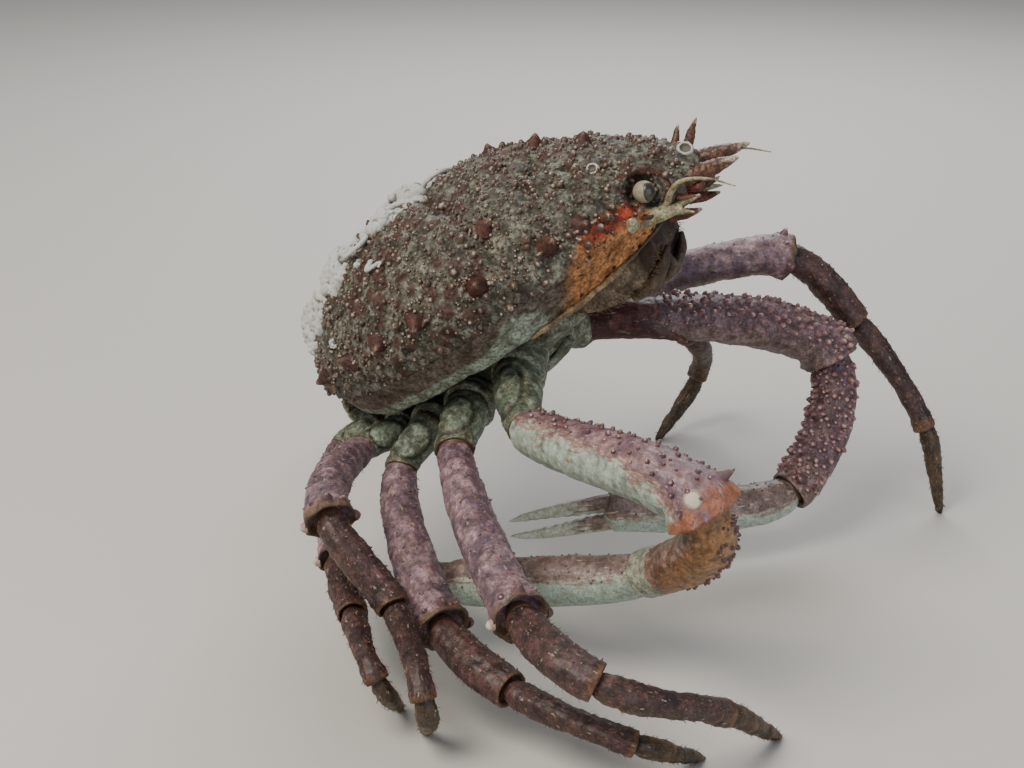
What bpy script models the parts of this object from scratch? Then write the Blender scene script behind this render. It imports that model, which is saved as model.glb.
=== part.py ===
"""Spiny spider crab, adult male, life size: a still model with the head carried high.

Metres, +Z up. The crab faces +X and its left side is +Y. The leg tips stand on z = 0.
The body is laid out in shell lengths along three axes of its own: f to the head,
l to the left and u out through the back. Each limb is a chain of lengths and angles.
"""
import math
import random

import bmesh
import bpy
import numpy as np
from mathutils import Matrix, Vector

# Driving dimensions
SHELL = 0.170                  # carapace length, rear edge to the notch of the rostrum
PITCH = math.radians(35)       # how far the head is raised
HEIGHT = 0.123                 # middle of the carapace above the floor
GAP = 0.0003                   # clearance between pieces that meet
AROUND = 10                    # sides of a limb
BOW = 0.052                    # how softly a limb turns at its joints
SEED = 31

# The carapace by station: place along f, half width, height of the back, depth below,
# half width of the flat underside, depth of the trough for the mouth plates
STATIONS = (
    (-0.500, 0.055, 0.045, 0.020, 0.030, 0.000),
    (-0.470, 0.135, 0.100, 0.045, 0.090, 0.000),
    (-0.410, 0.225, 0.165, 0.082, 0.170, 0.000),
    (-0.300, 0.315, 0.230, 0.112, 0.250, 0.000),
    (-0.150, 0.378, 0.254, 0.120, 0.300, 0.000),
    (0.000, 0.392, 0.254, 0.120, 0.305, 0.000),
    (0.070, 0.384, 0.244, 0.118, 0.285, 0.000),
    (0.120, 0.368, 0.232, 0.116, 0.262, 0.036),
    (0.240, 0.300, 0.188, 0.108, 0.188, 0.036),
    (0.330, 0.222, 0.146, 0.090, 0.128, 0.034),
    (0.400, 0.160, 0.108, 0.064, 0.088, 0.014),
    (0.460, 0.108, 0.068, 0.038, 0.056, 0.000),
    (0.500, 0.074, 0.040, 0.024, 0.036, 0.000),
    (0.530, 0.052, 0.018, 0.020, 0.030, 0.000),
)
TROUGH = 0.092                 # half width of the mouth trough, in shell lengths

# Limb pieces from the body outwards: length and radius in millimetres
PIECES = ("base", "merus", "carpus", "propodus", "dactylus")
LENGTHS = {
    "claw": (30, 84, 58, 75, 40),
    "leg1": (20, 93, 42, 55, 38),
    "leg2": (20, 79, 37, 47, 36),
    "leg3": (17, 68, 36, 44, 34),
    "leg4": (17, 60, 33, 38, 32),
}
GIRTHS = {
    "claw": (8.5, 10.4, 9.0, 7.6, 3.8),
    "leg1": (8.2, 7.8, 6.6, 4.8, 3.9),
    "leg2": (7.2, 7.8, 6.6, 4.6, 3.7),
    "leg3": (6.4, 7.1, 6.0, 4.3, 3.5),
    "leg4": (5.6, 6.0, 5.2, 3.9, 3.2),
}
HIPS = {
    "claw": (-0.020, 0.190, -0.182),
    "leg1": (-0.155, 0.200, -0.186),
    "leg2": (-0.265, 0.185, -0.180),
    "leg3": (-0.360, 0.150, -0.160),
    "leg4": (-0.430, 0.105, -0.128),
}

# The pose: heading and slope in degrees of each piece, base first. A walking leg's
# dactylus gives its heading only, because its slope follows from reaching the floor.
POSE = {
    ("claw", "right"): ((-62, -15), (-28, -2), (132, -45), (175, -15), (150, -20)),
    ("leg1", "right"): ((-84, -30), (-54, -13), (-36, -5), (51, -27), (67, None)),
    ("leg2", "right"): ((-125, -48), (-55, -21), (-30, -11), (-13, -5), (60, None)),
    ("leg3", "right"): ((-124, -12), (-74, 1), (-10, -46), (-53, -15), (112, None)),
    ("leg4", "right"): ((-150, -32), (-66, -20), (-56, -9), (-52, -8), (95, None)),
    ("claw", "left"): ((12, 8), (42, -19), (-100, -53), (-142, 1), (199, -12)),
    ("leg1", "left"): ((50, 38), (35, 10), (28, -43), (9, -55), (-13, None)),
    ("leg2", "left"): ((88, -13), (71, 10), (30, -40), (98, -44), (-117, None)),
    ("leg3", "left"): ((105, -5), (118, 14), (122, -20), (122, -62), (122, None)),
    ("leg4", "left"): ((124, -15), (122, 11), (122, -22), (122, -55), (122, None)),
}

# Colours of the finished surfaces: base colour, roughness
FINISHES = {
    "shell": ((0.150, 0.095, 0.065), 0.80),
    "underside": ((0.330, 0.310, 0.220), 0.65),
    "limb": ((0.150, 0.060, 0.070), 0.60),
    "tip": ((0.170, 0.080, 0.030), 0.50),
    "claw": ((0.210, 0.100, 0.120), 0.60),
    "eye": ((0.300, 0.300, 0.250), 0.20),
    "feeler": ((0.400, 0.330, 0.160), 0.50),
}

MODEL = None
MATERIALS = {}


def clear_scene():
    """Start from nothing."""
    for obj in list(bpy.data.objects):
        bpy.data.objects.remove(obj, do_unlink=True)


def make_materials():
    """One plain finish for each kind of surface."""
    for name, (colour, rough) in FINISHES.items():
        mat = bpy.data.materials.new(name)
        mat.use_nodes = True
        shader = mat.node_tree.nodes["Principled BSDF"]
        shader.inputs["Base Color"].default_value = (*colour, 1.0)
        shader.inputs["Roughness"].default_value = rough
        shader.inputs["Metallic"].default_value = 0.0
        MATERIALS[name] = mat


def body(f, l, u):
    """A point given in the body's own axes, in shell lengths, as a point in the world."""
    c, s = math.cos(PITCH), math.sin(PITCH)
    return Vector((SHELL * (f * c - u * s), SHELL * l, SHELL * (f * s + u * c) + HEIGHT))


def body_dir(f, l, u):
    """A unit direction given in the body's own axes."""
    return (body(f, l, u) - body(0, 0, 0)).normalized()


def ease(column, f):
    """One column of the carapace stations, softened between them."""
    place = [row[0] for row in STATIONS]
    value = [row[column] for row in STATIONS]
    near = [np.interp(f + d, place, value) for d in (-0.02, 0.0, 0.02)]
    return float(np.mean(near))


def shell_point(f, angle):
    """A point of the back: angle 0 is the right margin and pi the left one."""
    w, h = ease(1, f), ease(2, f)
    return body(f, -w * math.cos(angle), h * abs(math.sin(angle)) ** 0.92)


def shell_normal(f, angle):
    """The outward direction of the back at a point, from two short steps along it."""
    d = 0.01
    along = shell_point(f + d, angle) - shell_point(f - d, angle)
    across = shell_point(f, angle + d) - shell_point(f, angle - d)
    return across.cross(along).normalized()


def add_object(name, bm, finish=None):
    """Put a finished mesh into the scene under its name."""
    bmesh.ops.recalc_face_normals(bm, faces=bm.faces)
    mesh = bpy.data.meshes.new(name)
    bm.to_mesh(mesh)
    bm.free()
    obj = bpy.data.objects.new(name, mesh)
    if finish:
        mesh.materials.append(MATERIALS[finish])
        mesh.shade_smooth()
        mesh.set_sharp_from_angle(angle=math.radians(35))
    MODEL.objects.link(obj)
    return obj


def loft(rings):
    """A closed skin over rings of equal count, capped at both ends."""
    bm = bmesh.new()
    rows = [[bm.verts.new(p) for p in ring] for ring in rings]
    count = len(rows[0])
    for a, b in zip(rows, rows[1:]):
        for i in range(count):
            j = (i + 1) % count
            bm.faces.new((a[i], a[j], b[j], b[i]))
    bm.faces.new(rows[0])
    bm.faces.new(rows[-1])
    bmesh.ops.recalc_face_normals(bm, faces=bm.faces)
    return bm


def ring(centre, side, up, a, b, count=AROUND):
    """An oval of points with half widths a along side and b along up."""
    turn = [2 * math.pi * i / count for i in range(count)]
    return [centre + side * (a * math.cos(t)) + up * (b * math.sin(t)) for t in turn]


def carry(side, tangent):
    """Turn a side vector so that it stays square to a new tangent."""
    return (side - tangent * side.dot(tangent)).normalized()


def cone(root, way, radius, length, sides=5, blunt=0.25):
    """A tapered spine with its root sunk a little into what carries it."""
    bm = bmesh.new()
    sink = 0.35 * radius + 0.0006
    full = length + sink
    turn = way.to_track_quat("Z", "Y").to_matrix().to_4x4()
    place = Matrix.Translation(root + way * (full / 2 - sink)) @ turn
    bmesh.ops.create_cone(bm, cap_ends=True, segments=sides, radius1=radius,
                          radius2=radius * blunt, depth=full, matrix=place)
    return bm


def fuse(obj, extras, solver="EXACT"):
    """Join extra closed forms to an object with one Boolean, and keep one closed body."""
    if extras:
        group = bpy.data.collections.new(obj.name + "_extras")
        bpy.context.scene.collection.children.link(group)
        made = []
        for bm in extras:
            mesh = bpy.data.meshes.new("extra")
            bmesh.ops.recalc_face_normals(bm, faces=bm.faces)
            bm.to_mesh(mesh)
            bm.free()
            extra = bpy.data.objects.new("extra", mesh)
            group.objects.link(extra)
            made.append(extra)
        union = obj.modifiers.new("join", "BOOLEAN")
        union.operation = "UNION"
        union.operand_type = "COLLECTION"
        union.collection = group
        union.solver = solver
        bake(obj)
        for extra in made:
            bpy.data.objects.remove(extra, do_unlink=True)
        bpy.data.collections.remove(group)
    keep_largest(obj)


def bake(obj):
    """Apply an object's modifiers to its mesh."""
    bpy.context.view_layer.update()
    graph = bpy.context.evaluated_depsgraph_get()
    mesh = bpy.data.meshes.new_from_object(obj.evaluated_get(graph))
    obj.modifiers.clear()
    obj.data = mesh


def keep_largest(obj):
    """Drop any loose crumb that a Boolean leaves, and clean the seams."""
    bm = bmesh.new()
    bm.from_mesh(obj.data)
    bmesh.ops.remove_doubles(bm, verts=bm.verts, dist=0.000001)
    left = set(bm.faces)
    best = []
    while left:
        first = left.pop()
        found, queue = [first], [first]
        while queue:
            for edge in queue.pop().edges:
                for face in edge.link_faces:
                    if face in left:
                        left.discard(face)
                        found.append(face)
                        queue.append(face)
        if len(found) > len(best):
            best = found
    keep = set(best)
    bmesh.ops.delete(bm, geom=[f for f in bm.faces if f not in keep], context="FACES")
    bmesh.ops.triangulate(bm, faces=bm.faces)
    bm.to_mesh(obj.data)
    bm.free()


def cut(obj, cutters):
    """Take closed forms out of an object with one Boolean each."""
    group = bpy.data.collections.new("cutters")
    bpy.context.scene.collection.children.link(group)
    for bm in cutters:
        mesh = bpy.data.meshes.new("cutter")
        bmesh.ops.recalc_face_normals(bm, faces=bm.faces)
        bm.to_mesh(mesh)
        bm.free()
        tool = bpy.data.objects.new("cutter", mesh)
        tool.hide_render = True
        tool.display_type = "WIRE"
        group.objects.link(tool)
        mod = obj.modifiers.new("cut", "BOOLEAN")
        mod.operation = "DIFFERENCE"
        mod.object = tool
        mod.solver = "MANIFOLD"
        bake(obj)
        bpy.data.objects.remove(tool, do_unlink=True)
    bpy.data.collections.remove(group)


# The eyes: where each stalk leaves its socket and which way it looks
EYE_ROOT = (0.397, 0.088, 0.002)
EYE_WAY = (0.50, 0.80, 0.22)


def mirrored(triple, side):
    """A point or direction of the left side, moved to the given side."""
    sign = 1 if side == "left" else -1
    return (triple[0], triple[1] * sign, triple[2])


def shell_ring(f, back=16):
    """One closed section of the carapace: the arched back and the folded-in underside."""
    w, d, inner = ease(1, f), ease(3, f), ease(4, f)
    points = [shell_point(f, math.pi * i / back) for i in range(back + 1)]
    groove = min(TROUGH, 0.82 * inner)
    half = ((0.94 * w, 0.42 * d), (inner + 0.16 * (w - inner), 0.86 * d), (inner, d), (groove, d),
            (0.97 * groove, d - ease(5, f) - 0.002))
    points += [body(f, l, -u) for l, u in half]
    points += [body(f, -l, -u) for l, u in reversed(half)]
    return points


def shell_spines():
    """The knobs, spines and lime lumps that stand on the back."""
    rng = random.Random(SEED)
    out = []
    # the worn row of large knobs along each margin
    for sign in (0, 1):
        for f, length in ((0.31, 5.0), (0.23, 6.0), (0.11, 8.0), (-0.03, 6.5),
                          (-0.14, 5.0), (-0.26, 5.0), (-0.38, 4.5)):
            angle = 0.13 if sign == 0 else math.pi - 0.13
            root = shell_point(f, angle)
            way = (shell_normal(f, angle) + body_dir(0.35, 0, 0.1) * 0.5).normalized()
            out.append(cone(root, way, 0.0032, length / 1000, 7, 0.5))
    # the row down the middle of the back, with a pair at the rear edge
    for f in (0.31, 0.21, 0.11, -0.01, -0.12, -0.23, -0.33):
        out.append(cone(shell_point(f, math.pi / 2), shell_normal(f, math.pi / 2),
                        0.0021, 0.0038, 6, 0.35))
    for sign in (-1, 1):
        root = shell_point(-0.47, math.pi / 2 + 0.45 * sign)
        out.append(cone(root, body_dir(-0.8, -0.1 * sign, 0.4), 0.0024, 0.0060, 6, 0.3))
    # smaller spines spread over the whole back
    total = 120
    for i in range(total):
        f = -0.455 + 0.86 * ((i + 0.5) / total)
        angle = 0.16 + (math.pi - 0.32) * ((i * 0.618034) % 1.0)
        f += rng.uniform(-0.02, 0.02)
        angle += rng.uniform(-0.08, 0.08)
        size = rng.uniform(0.7, 1.25)
        out.append(cone(shell_point(f, angle), shell_normal(f, angle),
                        0.0013 * size, 0.0026 * size))
    return out


def lime_lumps():
    """Low lumps of lime crust along the rear of the back, close to the middle."""
    rng = random.Random(SEED + 1)
    out = []
    for i in range(10):
        f = -0.452 + 0.040 * i
        angle = math.pi / 2 + rng.uniform(-0.06, 0.24)
        out.append(cone(shell_point(f, angle), shell_normal(f, angle),
                        rng.uniform(0.0046, 0.0060), rng.uniform(0.0028, 0.0040), 7, 0.6))
    return out


def horn(path, radii, sides=8):
    """A tapered horn along a short path."""
    tangent = (path[1] - path[0]).normalized()
    side = carry(Vector((0.1, 1.0, 0.2)), tangent)
    rings = []
    for i, point in enumerate(path):
        ahead = path[min(i + 1, len(path) - 1)] - path[max(i - 1, 0)]
        tangent = ahead.normalized()
        side = carry(side, tangent)
        rings.append(ring(point, side, tangent.cross(side), radii[i], radii[i], sides))
    return loft(rings)


def head_horns():
    """The two rostral horns and the spines above and behind each eye."""
    out = []
    for side in ("left", "right"):
        path = [body(*mirrored(p, side)) for p in (
            (0.450, 0.028, 0.016), (0.505, 0.031, 0.001), (0.560, 0.041, -0.013),
            (0.603, 0.052, -0.024))]
        out.append(horn(path, (0.0042, 0.0034, 0.0024, 0.0008)))
        for root, way, length in (
                ((0.470, 0.100, 0.036), (0.30, 0.62, 0.50), 11.0),
                ((0.400, 0.125, 0.065), (0.35, 0.40, 0.70), 3.5),
                ((0.345, 0.200, 0.018), (0.60, 0.75, 0.05), 5.5)):
            out.append(cone(body(*mirrored(root, side)), body_dir(*mirrored(way, side)),
                            0.0022, length / 1000, 6, 0.2))
    return out


def eye_socket(side):
    """The form that hollows an eye socket: wide, with a flat inner end."""
    root = body(*mirrored(EYE_ROOT, side))
    way = body_dir(*mirrored(EYE_WAY, side))
    across = carry(Vector((0, 0, 1)), way)
    other = way.cross(across)
    rings = [ring(root, across, other, 0.0038, 0.0042, 10),
             ring(root + way * 0.004, across, other, 0.0052, 0.0056, 10),
             ring(root + way * 0.012, across, other, 0.0066, 0.0072, 10),
             ring(root + way * 0.030, across, other, 0.0080, 0.0090, 10)]
    return loft(rings)


def make_carapace():
    """The shield over the body with its spines, horns and eye sockets."""
    places = np.concatenate([[-0.5, -0.485], np.linspace(-0.46, 0.46, 17), [0.49, 0.51, 0.53]])
    shell = add_object("carapace", loft([shell_ring(f) for f in places]), "shell")
    # the MANIFOLD solver joins this many small pieces cleanly where EXACT leaves slivers
    fuse(shell, head_horns() + shell_spines() + lime_lumps(), "MANIFOLD")
    cut(shell, [eye_socket("left"), eye_socket("right"),
                antenna_plate("left", 1.2 * GAP / SHELL), antenna_plate("right", 1.2 * GAP / SHELL)])
    keep_largest(shell)
    finish(shell, "shell")
    return shell


def finish(obj, name):
    """Give an object its material and smooth shading after a Boolean."""
    obj.data.materials.clear()
    obj.data.materials.append(MATERIALS[name])
    obj.data.shade_smooth()
    obj.data.set_sharp_from_angle(angle=math.radians(35))


def make_eyes():
    """A short stalk and a rounded eye in each socket."""
    profile = ((0.0, 2.6), (2.5, 2.1), (4.6, 2.6), (6.6, 3.4), (8.8, 3.4), (10.6, 2.4), (11.6, 0.9))
    for side in ("left", "right"):
        root = body(*mirrored(EYE_ROOT, side))
        way = body_dir(*mirrored(EYE_WAY, side))
        across = carry(Vector((0, 0, 1)), way)
        other = way.cross(across)
        rings = [ring(root + way * (GAP + d / 1000), across, other, r / 1000, r / 1000, 12)
                 for d, r in profile]
        add_object("eye_" + side, loft(rings), "eye")


def make_sternum():
    """The plates under the body, with a short hip on each side for every limb."""
    rings = []
    for f in np.linspace(-0.46, 0.46, 17)[:11]:
        top = ease(3, f) + 1.2 * GAP / SHELL
        half = float(np.interp(f, (-0.46, -0.42, -0.35, -0.20, -0.10, 0.115),
                               (0.05, 0.07, 0.11, 0.14, 0.15, 0.11)))
        low = float(np.interp(f, (-0.46, -0.40, -0.30, -0.10, 0.115),
                              (0.085, 0.150, 0.186, 0.200, 0.158)))
        rings.append([body(f, half, -top), body(f, half, -top - 0.45 * (low - top)),
                      body(f, 0.6 * half, -low), body(f, -0.6 * half, -low),
                      body(f, -half, -top - 0.45 * (low - top)), body(f, -half, -top)])
    plate = add_object("sternum", loft(rings), "underside")
    hips = []
    for (limb, side), angles in POSE.items():
        root = body(*mirrored(HIPS[limb], side))
        way = direction(*angles[0])
        heart = body(HIPS[limb][0] * 0.92, 0.0, -0.154)
        inner = root + (heart - root) * 0.60
        across = carry(Vector((0, 0, 1)), way)
        radius = GIRTHS[limb][0] / 1000
        first = (root - inner).normalized()
        side_in = carry(across, first)
        start = ring(inner, side_in, first.cross(side_in), radius * 0.72, radius * 0.72)
        end = ring(root - way * (GAP / 2), across, way.cross(across), radius, radius)
        hips.append(loft([start, end]))
    fuse(plate, hips, "MANIFOLD")
    finish(plate, "underside")


def make_abdomen():
    """The tail flap, folded under the body along the middle."""
    spine = ((-0.504, -0.046), (-0.501, -0.084), (-0.484, -0.124), (-0.446, -0.162),
             (-0.374, -0.198), (-0.250, -0.217), (-0.120, -0.222), (-0.010, -0.210), (0.030, -0.200))
    half = (0.060, 0.074, 0.078, 0.074, 0.068, 0.062, 0.052, 0.040, 0.022)
    thick = 0.012
    rings = []
    for i, (f, u) in enumerate(spine):
        a = spine[max(i - 1, 0)]
        b = spine[min(i + 1, len(spine) - 1)]
        tf, tu = b[0] - a[0], b[1] - a[1]
        size = math.hypot(tf, tu)
        nf, nu = tu / size, -tf / size
        row = []
        for t in range(10):
            turn = 2 * math.pi * t / 10
            l = half[i] * math.cos(turn)
            k = thick * math.sin(turn)
            row.append(body(f + nf * k, l, u + nu * k))
        rings.append(row)
    add_object("abdomen", loft(rings), "underside")


def make_mouth():
    """The outer mouth plates, one on each side of the middle."""
    for side in ("left", "right"):
        sign = 1 if side == "left" else -1
        rings = []
        for f, low in ((0.120, 0.140), (0.16, 0.156), (0.22, 0.166), (0.28, 0.164), (0.33, 0.138),
                       (0.37, 0.098)):
            floor, inner = ease(3, f), 0.0015
            top = floor - ease(5, f) + 0.5 * GAP / SHELL
            outer = 0.97 * min(TROUGH, 0.82 * ease(4, f)) - 0.004
            rings.append([body(f, sign * inner, -top), body(f, sign * outer, -top),
                          body(f, sign * outer, -floor), body(f, sign * outer * 0.75, -low),
                          body(f, sign * inner, -low)])
        add_object("mouth_" + side, loft(rings), "underside")


def antenna_plate(side, grow):
    """The stout basal piece of an antenna, along the lower edge of the eye socket."""
    path = [body(*mirrored(p, side)) for p in (
        (0.352 - grow, 0.126, -0.030), (0.388, 0.119, -0.036), (0.430, 0.108, -0.046),
        (0.462 + grow, 0.096, -0.058))]
    extra = grow * SHELL
    return horn(path, [r + extra for r in (0.0026, 0.0036, 0.0032, 0.0020)])


def make_antennae():
    """The flat basal plate below each eye and the long thin feeler."""
    for side in ("left", "right"):
        plate = add_object("antenna_" + side, antenna_plate(side, 0.0), "feeler")
        whip = [body(*mirrored(p, side)) for p in (
            (0.428, 0.107, -0.048), (0.462, 0.113, -0.019), (0.490, 0.120, -0.008),
            (0.523, 0.127, -0.015), (0.562, 0.137, -0.036), (0.600, 0.147, -0.070))]
        extras = [horn(whip, (0.0015, 0.0014, 0.0012, 0.0010, 0.0008, 0.0004), 6)]
        for root, way, length in (((0.455, 0.097, -0.062), (0.8, 0.3, -0.4), 4.0),
                                  ((0.458, 0.092, -0.052), (0.95, -0.1, -0.1), 6.0)):
            extras.append(cone(body(*mirrored(root, side)), body_dir(*mirrored(way, side)),
                               0.0016, length / 1000, 6, 0.25))
        fuse(plate, extras)
        finish(plate, "feeler")


def direction(heading, slope):
    """A unit vector from a heading and a slope in degrees."""
    h, e = math.radians(heading), math.radians(slope)
    return Vector((math.cos(e) * math.cos(h), math.cos(e) * math.sin(h), math.sin(e)))


def limb_points(limb, side):
    """The joints of one limb from the hip to the tip."""
    points = [body(*mirrored(HIPS[limb], side))]
    for length, (heading, slope) in zip(LENGTHS[limb], POSE[(limb, side)]):
        size = length / 1000
        if slope is None:
            slope = -math.degrees(math.asin(points[-1].z / size))
        points.append(points[-1] + direction(heading, slope) * size)
    return points


def joint_ways(points):
    """The direction of travel at every joint: halfway between the pieces that meet."""
    runs = [(b - a).normalized() for a, b in zip(points, points[1:])]
    ways = [runs[0]]
    ways += [(a + b).normalized() for a, b in zip(runs, runs[1:])]
    ways.append(runs[-1])
    return ways


def bend(p, q, way_p, way_q, t):
    """A point and direction on the smooth curve from one joint to the next."""
    reach = min((q - p).length * 0.95, BOW)
    a, b = way_p * reach, way_q * reach
    point = ((2 * t**3 - 3 * t**2 + 1) * p + (t**3 - 2 * t**2 + t) * a
             + (3 * t**2 - 2 * t**3) * q + (t**3 - t**2) * b)
    way = ((6 * t**2 - 6 * t) * p + (3 * t**2 - 4 * t + 1) * a
           + (6 * t - 6 * t**2) * q + (3 * t**2 - 2 * t) * b)
    return point, way.normalized()


# How thick each piece is along its length, as shares of its radius
FORMS = {
    "base": ((0, 1.0), (0.35, 0.98), (0.75, 0.88), (1, 0.84)),
    "merus": ((0, 0.74), (0.12, 0.78), (0.40, 0.92), (0.68, 1.02), (0.86, 1.08),
              (0.95, 1.26), (1, 1.24)),
    "carpus": ((0, 0.95), (0.15, 0.92), (0.45, 1.03), (0.75, 1.04), (0.92, 0.98), (1, 0.86)),
    "propodus": ((0, 1.08), (0.12, 1.12), (0.40, 1.0), (0.75, 0.95), (0.92, 1.02), (1, 0.98)),
    "dactylus": ((0, 0.98), (0.15, 1.0), (0.45, 0.86), (0.75, 0.62), (0.93, 0.42), (1, 0.38)),
}


def piece_rings(limb, side, index, gap=GAP):
    """The rings of one limb piece, held back from each joint by half the clearance."""
    joints = limb_points(limb, side)
    ways = joint_ways(joints)
    across = carry(Vector((0, 0, 1)), ways[0])
    for i in range(index + 1):
        across = carry(across, ways[i])
    p, q = joints[index], joints[index + 1]
    name = PIECES[index]
    radius = GIRTHS[limb][index] / 1000
    on_floor = name == "dactylus" and limb != "claw"
    rings = []
    for t, share in FORMS[name]:
        point, way = bend(p, q, ways[index], ways[index + 1], t)
        if t == 0:
            point += way * (gap / 2)
        if t == 1 and not on_floor:
            point -= way * (gap / 2)
        across = carry(across, way)
        other = way.cross(across)
        if t == 1 and on_floor:
            across = carry(across, Vector((0, 0, -1)))
            other = Vector((0, 0, -1)).cross(across)
            point.z = 0.0
        points = ring(point, across, other, radius * share, radius * share * 0.93)
        if on_floor and t < 1:
            points = [Vector((v.x, v.y, max(v.z, 0.0004))) for v in points]
        rings.append(points)
    return rings


def limb_spines(limb, side, index):
    """Pointed spines in loose rows on the claw arms, and one at the end of each merus."""
    rng = random.Random(SEED + index + 7 * len(limb) + (3 if side == "left" else 0))
    points = limb_points(limb, side)
    ways = joint_ways(points)
    p, q = points[index], points[index + 1]
    radius = GIRTHS[limb][index] / 1000
    out = []
    rows = []
    if limb == "claw" and PIECES[index] in ("merus", "carpus"):
        count = 5 if index == 1 else 4
        for row in range(4):
            for k in range(count):
                rows.append((0.10 + 0.76 * (k + 0.5 * (row % 2)) / count, 90 + 38 * (row - 1.5),
                             rng.uniform(1.6, 2.4), 1.4))
        rows.append((0.93, 60, 4.5, 2.4))
        rows.append((0.93, 115, 4.0, 2.2))
    elif PIECES[index] == "merus":
        rows.append((0.94, 90, 4.0, 2.2))
    for t, degrees, length, thick in rows:
        t += rng.uniform(-0.02, 0.02)
        degrees += rng.uniform(-7, 7)
        point, way = bend(p, q, ways[index], ways[index + 1], t)
        up = carry(Vector((0, 0, 1)), way)
        lateral = up.cross(way)
        turn = math.radians(degrees)
        out_way = (lateral * math.cos(turn) + up * math.sin(turn)).normalized()
        share = float(np.interp(t, *zip(*FORMS[PIECES[index]])))
        root = point + out_way * (radius * share * 0.95)
        lean = (out_way + way * 0.35).normalized()
        out.append(cone(root, lean, thick / 1000, length / 1000, 6 if thick > 2 else 5, 0.2))
    return out


def make_palm(side):
    """A claw's palm with its fixed finger, and the movable finger above it."""
    points = limb_points("claw", side)
    ways = joint_ways(points)
    palm_q, tip = points[4], points[5]
    radius = GIRTHS["claw"][3] / 1000
    rings = []
    way = ways[3]
    across = carry(Vector((0, 0, 1)), way)
    for t, share in ((0, 0.80), (0.10, 0.98), (0.35, 1.10), (0.65, 1.02), (0.93, 0.98), (1, 0.96)):
        point, way = bend(points[3], palm_q, ways[3], ways[4], t)
        if t == 0:
            point += way * (GAP / 2)
        across = carry(Vector((0, 0, 1)), way)
        other = way.cross(across)
        rings.append(ring(point, across, other, radius * share, radius * share * 0.80))
    end, end_way = point, way
    up = carry(Vector((0, 0, 1)), end_way)
    half = radius * 0.44
    low = [(0.002, 1.0, 0.0), (0.30, 0.86, 0.0), (0.62, 0.66, 0.0), (0.86, 0.45, 0.10),
           (1.0, 0.16, 0.28)]
    run = tip - palm_q
    for t, share, lift in low:
        centre = end + run * t - up * (radius * (0.52 - lift * 0.6 + 0.05 * t))
        run_way = run.normalized()
        ring_way = end_way if t < 0.1 else run_way
        across = carry(up, ring_way)
        other = ring_way.cross(across)
        rings.append(ring(centre, across, other, half * share, half * share))
    palm = add_object("claw_%s_propodus" % side, loft(rings), "claw")
    keep_largest(palm)
    finish(palm, "claw")
    rings = []
    high = [(0.0, 1.0, 0.0), (0.06, 1.02, 0.0), (0.30, 0.88, 0.04), (0.62, 0.66, 0.02),
            (0.86, 0.45, -0.10), (1.0, 0.16, -0.26)]
    for t, share, lift in high:
        rise = radius * (0.52 + lift * 0.6 + 0.12 * t)
        centre = end + end_way * (GAP + 0.0001) + run * t + up * rise
        ring_way = end_way if t < 0.05 else run.normalized()
        across = carry(up, ring_way)
        other = ring_way.cross(across)
        rings.append(ring(centre, across, other, half * share, half * share))
    finger = add_object("claw_%s_dactylus" % side, loft(rings), "claw")
    keep_largest(finger)
    finish(finger, "claw")


def make_limbs():
    """All ten limbs, piece by piece."""
    for limb, side in POSE:
        for index, piece in enumerate(PIECES):
            if limb == "claw" and piece in ("propodus", "dactylus"):
                continue
            name = "%s_%s_%s" % (limb, side, piece)
            look = "claw" if limb == "claw" else "tip" if piece == "dactylus" else "limb"
            look = "underside" if piece == "base" else look
            obj = add_object(name, loft(piece_rings(limb, side, index)), look)
            extras = limb_spines(limb, side, index)
            if extras:
                fuse(obj, extras, "MANIFOLD" if limb == "claw" else "EXACT")
            else:
                keep_largest(obj)
            finish(obj, look)
        if limb == "claw":
            make_palm(side)


def stand_on_origin():
    """Hang every piece on one empty and set the middle of the footprint on the origin."""
    bpy.context.view_layer.update()
    points = np.array([tuple(v.co) for obj in MODEL.objects for v in obj.data.vertices])
    low, high = points.min(axis=0), points.max(axis=0)
    hub = bpy.data.objects.new("crab_frame", None)
    bpy.context.scene.collection.objects.link(hub)
    hub.location = (-(low[0] + high[0]) / 2, -(low[1] + high[1]) / 2, -low[2])
    for obj in MODEL.objects:
        obj.parent = hub
    print("size in mm", [round(float(v) * 1000, 1) for v in high - low], "shift", tuple(hub.location))


def main():
    global MODEL
    clear_scene()
    MODEL = bpy.data.collections.new("spider_crab")
    bpy.context.scene.collection.children.link(MODEL)
    make_materials()
    make_carapace()
    make_sternum()
    make_abdomen()
    make_mouth()
    make_eyes()
    make_antennae()
    make_limbs()
    stand_on_origin()
    bpy.context.view_layer.update()
    total = 0
    for obj in MODEL.objects:
        total += sum(len(p.vertices) - 2 for p in obj.data.polygons)
    print(len(MODEL.objects), "pieces,", total, "triangles")


main()
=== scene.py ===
# %% [markdown]
# # A spiny spider crab, life size
#
# The model is an adult male crab that stands on the tips of its walking legs, with its head
# carried high and both claws folded in front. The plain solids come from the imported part.
# This script dresses them: every plate and limb piece gets a finer surface, worked out with
# arrays of numbers, and a finish that follows the real shell.

import math

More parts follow.
